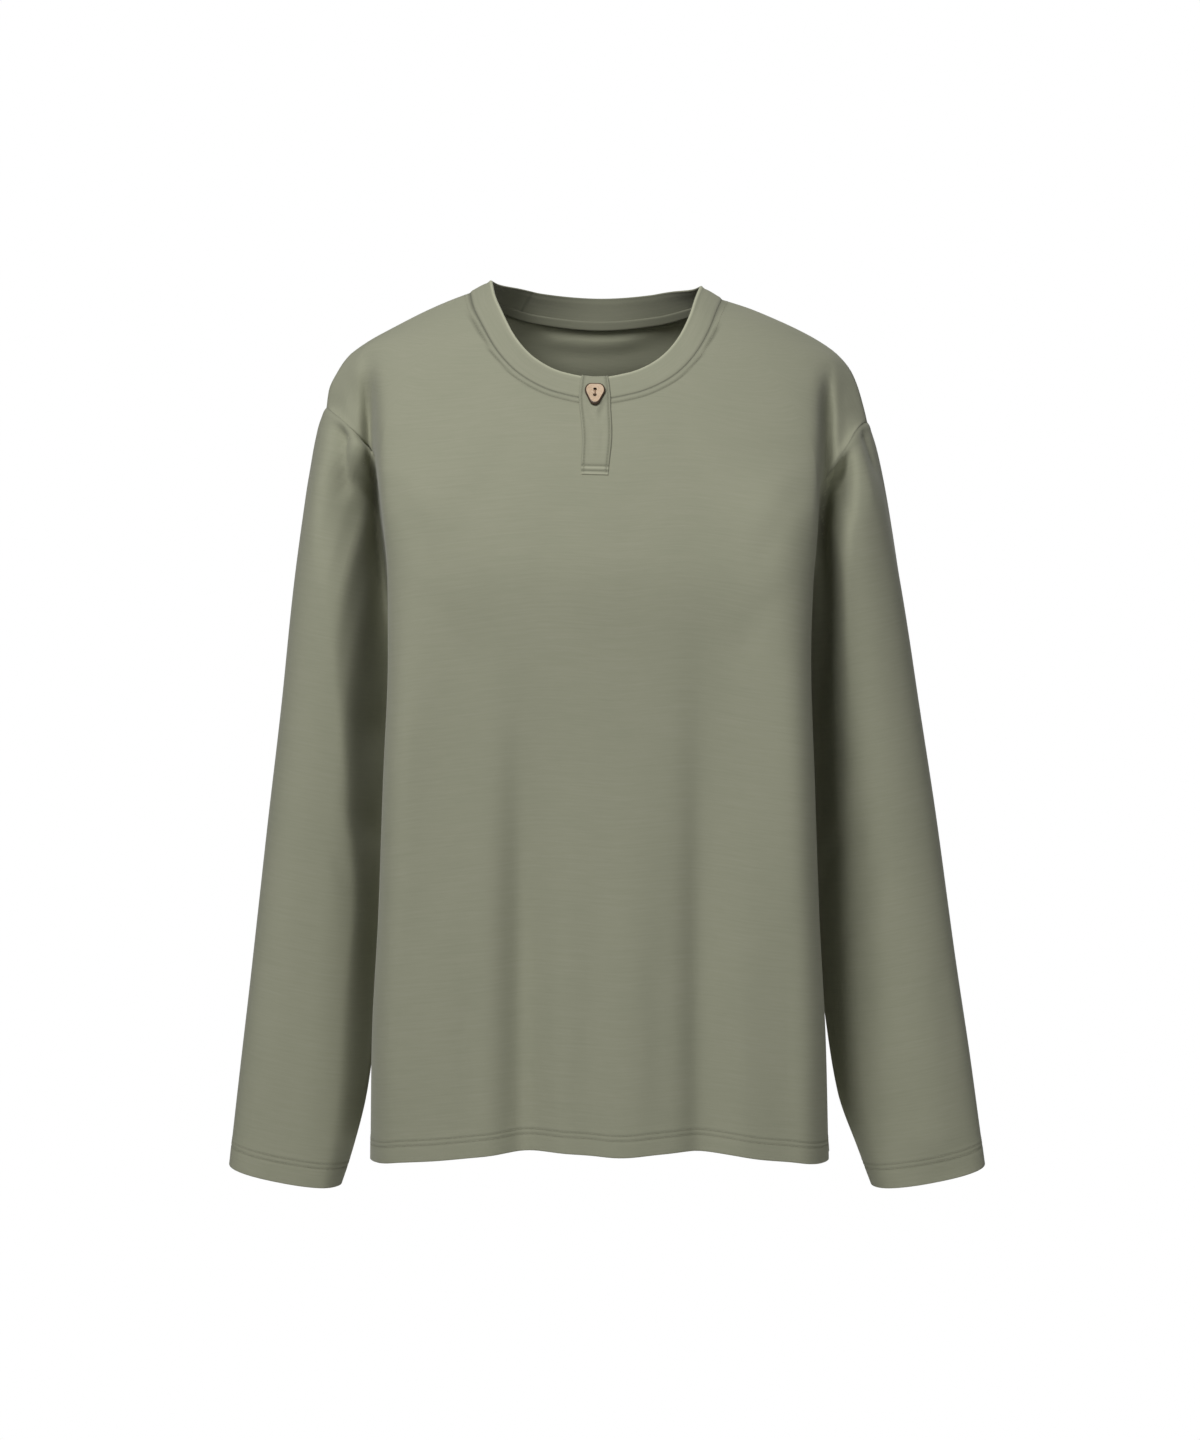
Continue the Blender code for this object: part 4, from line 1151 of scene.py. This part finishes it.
bandSizes = {
    "thickness": 1.8 * mm,
    "insideFollows": 0.5,  # its inside takes up this share of the relief
    "edgePuff": 0.7 * mm,  # the rolled edge stands proud
    "edgeAt": 1.5 * mm,
    "edgeWidth": 1.3 * mm,
    "behindShare": 0.4,  # a soft hollow behind it
    "behindAt": 4.2 * mm,
    "behindWidth": 1.2 * mm,
    "paintedHighlight": 1.5,  # painted highlight on the rolled edge, against the seam's painted shade
    "paintedHighlightAt": 1.1 * mm,
    "paintedHighlightWidth": 1.2 * mm,
    "joinX": -66 * mm,  # where the band's ends are joined, inside, drawn only as a line of painted shade
    "joinSlant": 0.45,
    "joinWidth": 0.8 * mm,
}


def makeBand():
    size = bandSizes
    grid, _ = surfaces["neckband"]
    normal = normals["neckband"]
    along = lengths(grid, 0)
    toTop = along[-1:] - along
    thickness = size["thickness"]
    rounded = roll(toTop, thickness)
    depth = neckRelief(along)
    depth -= size["edgePuff"] * groove(toTop, size["edgeAt"], size["edgeWidth"])
    depth += size["behindShare"] * size["edgePuff"] * groove(toTop, size["behindAt"], size["behindWidth"])
    outer = grid - normal * (depth + rounded)[..., None]
    inner = grid - normal * (depth * size["insideFollows"] + thickness - rounded)[..., None]
    across = lengths(grid, 1)
    # painted shade along the neck seam, less a painted highlight on the rolled edge; inside, a line of
    # painted shade at the join
    shade = shadeAt(along, (0,)) - size["paintedHighlight"] * shadeAt(toTop, (size["paintedHighlightAt"],), size["paintedHighlightWidth"])
    flatPlace = np.stack([across, along, shade], -1)
    slanted = grid[..., 0] - size["joinSlant"] * along
    join = groove(slanted, size["joinX"], size["joinWidth"]) * (grid[..., 1] > 0)
    innerPlace = np.stack([across, along, join], -1)
    made = shell("neckband", outer, inner, flatPlace, (jersey, bandInsidePaintedShade), innerCloth=innerPlace)
    place(made, "neckband", "jersey")


makeBand()
print("neckband made")

placket = {
    "overTop": 12.4 * mm,
    "overBottom": 10.6 * mm,
    "overBottomZ": -159.4 * mm,
    "overThickness": 1.5 * mm,
    "underHalf": 10.5 * mm,
    "underBottomZ": -152 * mm,
    "underThickness": 1.4 * mm,
    "underBelow": 2.6 * mm,  # its right side lies this far behind the front's
    "gap": 0.3 * mm,
    "stitchIn": 2.0 * mm,
    "stitchDip": 0.3 * mm,
    "stitchDipWidth": 0.6 * mm,
    "stitchShade": 0.8,
    "fromEnd": 4 * mm,  # the side rows fade in over this
    "barsAt": (3.6 * mm, 7.8 * mm),  # the two rows that cross the strip's end
    "barShade": 0.9,
    "fromSide": 1.5 * mm,
    "barDip": 0.35 * mm,
    "barDipWidth": 0.7 * mm,
    "paintedHighlightAt": (1.0 * mm, 5.7 * mm),  # painted highlights on the ridges beside those rows
    "bowed": 1.7 * mm,  # how far the strip bows to the left between its ends
    "rolled": 1.0 * mm,  # width and least height of the rounded edges
    "edgeShare": 0.12,
    "softening": 12,
    "length": 60 * mm,  # from the end up to the neck seam, for the spacing of its rows
    "edgeRows": (0, 0.12, 0.35, 0.7, 1.1, 1.6, 2.0, 2.4, 3.2),  # mm
    "barRows": (4.2, 5, 5.8, 6.6, 7.4, 8.2, 9.5),
    "plainRows": 25,
    "plainFrom": 11.5 * mm,
    "plainColumns": 13,
    "clothFrom": 0.31,  # m; it is cut elsewhere in the cloth, so its slub isn't the front's
}


# puckers round the button, and down the strip
placketCreases = table(
    creaseColumns,
    (-14.5, -90, -1, -114, -1.2, 1.5, -1.5),
    (8, -90, -4.5, -114, 1.2, 1.5, -1.5),
    (-11, -102, -3, -122, -0.8, 1.6, 0.5),
    (5, -102, -1, -122, 0.8, 1.6, 0.5),
    (-9, -116, -7, -150, 0.6, 1.8, 0.35),
    (1.5, -118, 0.5, -148, -0.6, 1.8, 0.35),
)


def stripGrid(halfTop, halfBottom, bottomZ):
    near = np.array(placket["edgeRows"]) * mm
    bars = np.array(placket["barRows"]) * mm
    plain = np.linspace(placket["plainFrom"], placket["length"], placket["plainRows"] + 1)
    rows = []
    for share in np.concatenate([near, bars, plain]) / placket["length"]:
        half = halfBottom + (halfTop - halfBottom) * share
        inside = np.linspace(-half + near[-1], half - near[-1], placket["plainColumns"])
        bow = placket["bowed"] * math.sin(math.pi * share) ** 2
        xs = shape["centreX"] + bow + np.concatenate([-half + near[:-1], inside, half - near[:-1][::-1]])
        row = []
        for x in xs:
            side = "left" if x > shape["centreX"] else "right"
            sample = np.linspace(0.5, 1, 200)
            seamX = smooth(neckFront["share"], neckFront[side + "X"], sample)
            seamZ = smooth(neckFront["share"], neckFront[side + "Z"], sample)
            order = np.argsort(seamX)
            z = bottomZ + (np.interp(x, seamX[order], seamZ[order]) - bottomZ) * share
            w = shareAt(frontSections, side, x, z)
            row.append(bodyPoint(frontSections, w if side == "left" else -w, z))
        rows.append(row)
    grid = np.array(rows)
    upper = bandGrid(grid[-1], grids["stripShares"])
    return lean(np.concatenate([grid, upper[1:]]))


def softened(normal, times):
    # evens out the normals where the strip bends over the neck seam
    for _ in range(times):
        inner = unit(normal[:-2] + 2 * normal[1:-1] + normal[2:])
        normal = np.concatenate([normal[:1], inner, normal[-1:]])
    return normal


def makeStrip(name, grid, low, thickness):
    normal = softened(gridNormals(grid), placket["softening"])
    across = lengths(grid, 1)
    toSide = np.minimum(across, across[:, -1:] - across)
    along = lengths(grid, 0)
    toEnd = np.minimum(along, along[-1:] - along)
    edge = np.minimum(toSide, toEnd)
    t = np.clip(edge / placket["rolled"], 0, 1)
    height = thickness * (placket["edgeShare"] + (1 - placket["edgeShare"]) * np.sqrt(1 - (1 - t) ** 2))
    if name == "placket_over":
        height -= creases(np.zeros_like(height), grid[..., 0], grid[..., 2], placketCreases)
    fromEnd = ease(along / placket["fromEnd"])
    height -= placket["stitchDip"] * groove(toSide, placket["stitchIn"], placket["stitchDipWidth"]) * fromEnd
    for at in placket["barsAt"]:
        bar = groove(along, at, placket["barDipWidth"]) * ease(toSide / placket["fromSide"])
        height -= placket["barDip"] * bar
    outer = grid + normal * (low + height)[..., None]
    inner = grid + normal * low
    # painted shade along the stitch rows and across the bars, and painted highlights on the ridges beside the
    # bars
    shade = placket["stitchShade"] * shadeAt(toSide, (placket["stitchIn"],)) * fromEnd
    shade = shade + placket["barShade"] * shadeAt(along, placket["barsAt"])
    shade -= placket["barShade"] * shadeAt(along, placket["paintedHighlightAt"])
    flatPlace = np.stack([across + placket["clothFrom"], along, np.clip(shade, -1, 1)], -1)
    made = shell(name, outer, inner, flatPlace, (jersey, wrongSidePaintedLight))
    place(made, name, "jersey")
    return {"outer": outer, "normal": normal, "toSide": toSide, "along": along}


overSheet = makeStrip(
    "placket_over",
    stripGrid(placket["overTop"], placket["overBottom"], placket["overBottomZ"]),
    placket["gap"],
    placket["overThickness"],
)
makeStrip(
    "placket_under",
    stripGrid(placket["underHalf"], placket["underHalf"], placket["underBottomZ"]),
    -placket["underThickness"] - placket["underBelow"],
    placket["underThickness"],
)
print("placket made")

tapeSizes = {
    "low": 2.7 * mm,  # its top lies this far inside the band's outer face
    "thickness": 0.8 * mm,
    "rolled": 1.4 * mm,
    "edgeShare": 0.15,
    "clothFrom": 0.7,  # m
    "shares": (-0.15, -0.135, -0.105, -0.06, -0.01, 0.04, 0.09, 0.135, 0.165, 0.18),  # of the band's height
}


def makeTape():
    seam = back[-1, ::-1][1:-1]
    grid = lean(bandGrid(seam, tapeSizes["shares"]))
    normal = gridNormals(grid)
    along = lengths(grid, 0)
    toEdge = np.minimum(along, along[-1:] - along)
    puff = np.sqrt(1 - (1 - np.clip(toEdge / tapeSizes["rolled"], 0, 1)) ** 2)
    edge = tapeSizes["edgeShare"]
    base = tapeSizes["low"] - tapeSizes["thickness"]
    outer = grid - normal * base
    inner = grid - normal * (base + tapeSizes["thickness"] * (edge + (1 - edge) * puff))[..., None]
    flatPlace = np.stack([lengths(grid, 1) + tapeSizes["clothFrom"], along, 0 * along], -1)
    made = shell("neck_tape", outer, inner, flatPlace, (ribTapePaintedShade,))
    place(made, "neck_tape", "tape")


makeTape()
print("neck tape made")

stitching = {
    "length": 2.9 * mm,
    "gap": 0.5 * mm,
    "radius": 0.24 * mm,
    "sides": 6,
    "wobble": 0.05 * mm,
    "rise": (-0.9, 0.25, 0.45, 0.25, -0.9),  # of the radius, from end to end of a stitch
    "thick": (0.6, 0.95, 1, 0.95, 0.6),
}


def readAt(values, run, at):
    # rows of values, read at these distances along the run
    return np.stack([np.interp(at, run, values[:, k]) for k in range(values.shape[1])], 1)


def tubeFaces(base, rings, sides, turned=False):
    # the sides and both ends of a tube whose rings of points follow one another from base
    faces = []
    for r in range(rings - 1):
        low, high = base + r * sides, base + (r + 1) * sides
        for s in range(sides):
            t = (s + 1) % sides
            faces.append((low + s, high + s, high + t, low + t))
    faces.append(tuple(base + s for s in range(sides)))
    faces.append(tuple(high + s for s in reversed(range(sides))))
    return [face[:1] + face[:0:-1] for face in faces] if turned else faces


def lineAt(points, normal, distance, at):
    # the line on a grid at a distance measured along its first axis
    found = []
    for c in range(points.shape[1]):
        d = distance[:, c]
        order = np.argsort(d)
        values = np.concatenate([points[:, c], normal[:, c]], 1)[order]
        found.append([np.interp(at, d[order], values[:, i]) for i in range(6)])
    found = np.array(found)
    return found[:, :3], unit(found[:, 3:])


def stitches(name, lines, loop=False):
    # every stitch is a short tube that dives into the cloth at both ends
    points, faces = [], []
    sides, radius = stitching["sides"], stitching["radius"]
    angles = np.arange(sides) / sides * 2 * math.pi
    for lineNumber, (line, normal) in enumerate(lines):
        if loop:
            line, normal = np.concatenate([line, line[:1]]), np.concatenate([normal, normal[:1]])
        run = lengths(line, 0)
        count = max(1, round(run[-1] / stitching["length"]))
        pitch = run[-1] / count
        for i in range(count):
            start = i * pitch + stitching["gap"] / 2
            end = (i + 1) * pitch - stitching["gap"] / 2
            at = np.linspace(start, end, len(stitching["rise"]))
            spine = readAt(line, run, at)
            out = unit(readAt(normal, run, at))
            along = unit(np.gradient(spine, axis=0))
            side = unit(np.cross(out, along))
            sway = stitching["wobble"] * math.sin(i * 2.4 + lineNumber * 1.3)
            rise = radius * np.array(stitching["rise"])
            spine = spine + out * rise[:, None] + side * sway
            thick = radius * np.array(stitching["thick"])
            ring = (
                spine[:, None]
                + side[:, None] * (np.cos(angles)[None, :, None] * thick[:, None, None])
                + out[:, None] * (np.sin(angles)[None, :, None] * thick[:, None, None])
            )
            faces += tubeFaces(len(points) * len(ring) * sides, len(ring), sides)
            points.append(ring.reshape(-1, 3))
    made = addMesh(name, np.concatenate(points), faces, [thread])
    place(made, None, "jersey")


def trimmed(line, normal, start, end):
    run = lengths(line, 0)
    at = np.linspace(start, run[-1] - end, len(line))
    return readAt(line, run, at), unit(readAt(normal, run, at))


def sheetLine(sheet, distance, at):
    return lineAt(sheet["outer"], sheet["normal"], sheet[distance], at)


for side, sheet in (("front", frontSheet), ("back", backSheet)):
    lines = [sheetLine(sheet, "fromHem", at) for at in cloth["hemStitches"]]
    stitches(f"hem_stitching_{side}", lines)
for side, sheet in (("right", rightSheet), ("left", leftSheet)):
    lines = [sheetLine(sheet, "toCuff", at) for at in cloth["cuffStitches"]]
    stitches(f"cuff_stitching_{side}", lines, loop=True)
neckLines = [sheetLine(sheet, "toNeck", cloth["neckStitch"]) for sheet in (frontSheet, backSheet)]
halves = []
for side in (slice(0, middle - 1), slice(middle + 2, None)):
    line, normal = neckLines[0]
    keep = np.abs(line[:, 0] - shape["centreX"]) > placket["overTop"]
    chosen = np.zeros(len(line), bool)
    chosen[side] = True
    halves.append((line[keep & chosen], normal[keep & chosen]))
stitches("neck_stitching", [*halves, neckLines[1]])
sideLines = []
turned = {key: np.swapaxes(overSheet[key], 0, 1) for key in ("outer", "normal", "toSide")}
half = turned["outer"].shape[0] // 2
for part in (slice(0, half), slice(half, None)):
    sideSheet = {key: values[part] for key, values in turned.items()}
    line, normal = sheetLine(sideSheet, "toSide", placket["stitchIn"])
    sideLines.append(trimmed(line, normal, placket["barsAt"][0], placket["fromSide"]))
bars = []
for at in placket["barsAt"]:
    line, normal = sheetLine(overSheet, "along", at)
    bars.append(trimmed(line, normal, placket["stitchIn"], placket["stitchIn"]))
stitches("placket_stitching", [*sideLines, *bars])
print("stitching made")

buttonSizes = {
    "radius": 8.5 * mm,
    "corner": 4.8 * mm,
    "stretch": 1.32,
    "thick": 3.0 * mm,
    "holeRadius": 1.35 * mm,
    "holesApart": 5.4 * mm,
    "cornerSteps": 16,
    "holeSides": 24,
    "slopeRows": 6,  # rows of the placket up and down, over which its slope is read
    "threadRadius": 0.17 * mm,
    "threadRings": 31,
    "threadSoftening": 6,
    "strandsAt": (-0.2, 0.2),  # mm from the middle line
}


def buttonOutline(steps):
    outline = []
    for corner in (150, 270, 390):
        towards = math.radians(corner)
        out = buttonSizes["radius"] - buttonSizes["corner"]
        centre = np.array([math.cos(towards), math.sin(towards)]) * out
        for turn in np.radians(np.linspace(corner - 60, corner + 60, steps)):
            outline.append(centre + buttonSizes["corner"] * np.array([math.cos(turn), math.sin(turn)]))
    return np.array(outline) * (1, buttonSizes["stretch"])


def makeButton():
    size = buttonSizes
    outline = buttonOutline(size["cornerSteps"])
    # scale of the outline and height of each ring, from the back over the rind to the dished face
    profile = (
        (0.86, 0.0, 1), (0.95, 0.12, 1), (0.99, 0.3, 1), (1.0, 0.5, 1), (0.99, 0.72, 1), (0.955, 0.88, 1),
        (0.9, 0.97, 1), (0.85, 1.0, 1), (0.8, 0.99, 0), (0.7, 0.95, 0), (0.5, 0.9, 0), (0.25, 0.88, 0),
    )
    count = len(outline)
    points, faces, slots = [], [tuple(reversed(range(count)))], [1]
    for scale, height, _ in profile:
        points += [(x * scale, y * scale, height * size["thick"]) for x, y in outline]
    for ring in range(len(profile) - 1):
        for i in range(count):
            j = (i + 1) % count
            low, high = ring * count, (ring + 1) * count
            faces.append((low + i, low + j, high + j, high + i))
            slots.append(profile[ring + 1][2])
    last = (len(profile) - 1) * count
    faces.append(tuple(last + i for i in range(count)))
    slots.append(0)
    made = addMesh("button", points, faces, [shellFace, shellRim], None, slots)
    for height in (-size["holesApart"] / 2, size["holesApart"] / 2):
        bpy.ops.mesh.primitive_cylinder_add(
            vertices=size["holeSides"],
            radius=size["holeRadius"],
            depth=4 * size["thick"],
            location=(0, height, 0),
        )
        cutter = bpy.context.object
        cutter.data.materials.append(shellRim)
        cut = made.modifiers.new("hole", "BOOLEAN")
        cut.object = cutter
        cut.operation = "DIFFERENCE"
        cut.material_mode = "TRANSFER"
        cutter.hide_render = True
    bpy.context.view_layer.update()
    cutMesh = bpy.data.meshes.new_from_object(made.evaluated_get(bpy.context.evaluated_depsgraph_get()))
    for cut in list(made.modifiers):
        cutter = cut.object
        made.modifiers.remove(cut)
        bpy.data.objects.remove(cutter)
    made.data = cutMesh
    return made


def buttonFrame():
    # the CAD button's own place: its box's middle, and the strip's slope there
    low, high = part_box("button")
    centre = np.array((low + high) / 2)
    gaps = np.linalg.norm(overSheet["outer"] - centre, axis=-1)
    r, c = np.unravel_index(np.argmin(gaps), gaps.shape)
    reach = buttonSizes["slopeRows"]
    out = unit(overSheet["normal"][r - reach : r + reach + 1, c].sum(0))
    leftward = overSheet["outer"][r, c + 2] - overSheet["outer"][r, c - 2]
    across = unit(leftward - out * (leftward @ out))
    return centre, across, np.cross(out, across), out


centre, across, up, out = buttonFrame()
button = makeButton()
points = np.array([v.co for v in button.data.vertices])
points[:, 2] -= buttonSizes["thick"] / 2
points = centre + points[:, :1] * across + points[:, 1:2] * up + points[:, 2:] * out
button.data.vertices.foreach_set("co", points.astype(np.float32).ravel())
button.data.update()
place(button, "button", "button")


def makeButtonThread():
    # two strands through the two holes and down to the placket
    strands = []
    hole = buttonSizes["holesApart"] / 2 / mm
    for k, shift in enumerate(buttonSizes["strandsAt"]):
        bend = 1.3 + 0.05 * k
        # across the button and up from its middle, mm
        route = ((-hole, -2.4), (-hole, bend), (-0.6, 1.62), (0.6, 1.62), (hole, bend), (hole, -2.4))
        strands.append(np.array([(shift, *step) for step in route]) * mm)
    points, faces = [], []
    sides = stitching["sides"]
    angles = np.arange(sides) / sides * 2 * math.pi
    for strand in strands:
        steps = np.arange(len(strand))
        spine = readAt(strand, steps, np.linspace(0, steps[-1], buttonSizes["threadRings"]))
        for _ in range(buttonSizes["threadSoftening"]):
            spine[1:-1] = (spine[:-2] + spine[1:-1] * 2 + spine[2:]) / 4
        along = unit(np.gradient(spine, axis=0))
        side = np.tile([1.0, 0, 0], (len(spine), 1))
        over = unit(np.cross(along, side))
        around = np.cos(angles)[None, :, None] * side[:, None] + np.sin(angles)[None, :, None] * over[:, None]
        ring = spine[:, None] + buttonSizes["threadRadius"] * around
        faces += tubeFaces(len(points) * len(ring) * sides, len(ring), sides, turned=True)
        points.append(ring.reshape(-1, 3))
    local = np.concatenate(points)
    world = centre + local[:, :1] * across + local[:, 1:2] * up + local[:, 2:] * out
    made = addMesh("button_thread", world, faces, [buttonThread])
    place(made, None, "jersey")


makeButtonThread()
print("button made")

studio = {
    "floorZ": -1.42,
    "floorRadius": 2.0,
    "floorColours": ("#e9e9e7", "#eeeeec"),
    "cameraDistance": 3.0,
    "cameraZ": -0.348,
    "lens": 93.75,
    "ambient": 0.08,
    "aim": (0, 0, -0.35),
    # name, power, size and place of each soft light
    "lights": (
        ("key", 50.5, 1.0, (-0.86, -1.85, 1.42)),
        ("fill", 10, 1.4, (1.5, -2.4, 0.3)),
        ("rear", 30, 1.6, (0.9, 2.5, 0.9)),
    ),
}
floorMaterial, tree = newMaterial("painted studio floor, matt")
# matt emulsion, rolled on: even, with the faintest clouding
floorPlace = addNode(tree, "ShaderNodeTexCoord").outputs["Object"]
spread = addNode(tree, "ShaderNodeTexNoise", {}, {"Vector": floorPlace, "Scale": 3.0})
ramp = addNode(tree, "ShaderNodeValToRGB", {}, {"Fac": spread.outputs["Fac"]})
for element, colour in zip(ramp.color_ramp.elements, studio["floorColours"]):
    element.color = linear(colour)
inputs = {"Base Color": ramp.outputs["Color"], "Roughness": 0.85}
floorShader = addNode(tree, "ShaderNodeBsdfPrincipled", {}, inputs)
addNode(tree, "ShaderNodeOutputMaterial", {}, {"Surface": floorShader.outputs[0]})
bpy.ops.mesh.primitive_circle_add(
    vertices=96,
    radius=studio["floorRadius"],
    fill_type="NGON",
    location=(0, 0, studio["floorZ"]),
)
floor = bpy.context.object
floor.name = "studio_floor"
floor.data.materials.append(floorMaterial)

# white where the camera looks past the floor, and a weak even light on the cloth
world = bpy.data.worlds.new("studio")
bpy.context.scene.world = world
world.use_nodes = True
tree = world.node_tree
tree.nodes.clear()
white = (1, 1, 1, 1)
seen = addNode(tree, "ShaderNodeBackground", {}, {"Color": white, "Strength": 1.0})
lighting = addNode(tree, "ShaderNodeBackground", {}, {"Color": white, "Strength": studio["ambient"]})
isCamera = addNode(tree, "ShaderNodeLightPath").outputs["Is Camera Ray"]
mixed = addNode(tree, "ShaderNodeMixShader", {}, {0: isCamera, 1: lighting.outputs[0], 2: seen.outputs[0]})
addNode(tree, "ShaderNodeOutputWorld", {}, {"Surface": mixed.outputs[0]})


def softLight(name, energy, size, location):
    data = bpy.data.lights.new(name, "AREA")
    data.energy = energy
    data.shape = "RECTANGLE"
    data.size = size
    data.size_y = size
    light = bpy.data.objects.new(name, data)
    bpy.context.scene.collection.objects.link(light)
    light.location = location
    direction = np.array(studio["aim"]) - np.array(location)
    light.rotation_euler = (
        math.atan2(math.hypot(direction[0], direction[1]), -direction[2]),
        0,
        math.atan2(direction[1], direction[0]) - math.pi / 2,
    )


for light in studio["lights"]:
    softLight(*light)

camera = bpy.data.objects.new("camera", bpy.data.cameras.new("camera"))
bpy.context.scene.collection.objects.link(camera)
camera.location = (0, -studio["cameraDistance"], studio["cameraZ"])
camera.rotation_euler = (math.pi / 2, 0, 0)
camera.data.lens = studio["lens"]
camera.data.sensor_width = 36
bpy.context.scene.camera = camera
bpy.context.scene.view_settings.view_transform = "Standard"
print("studio made")
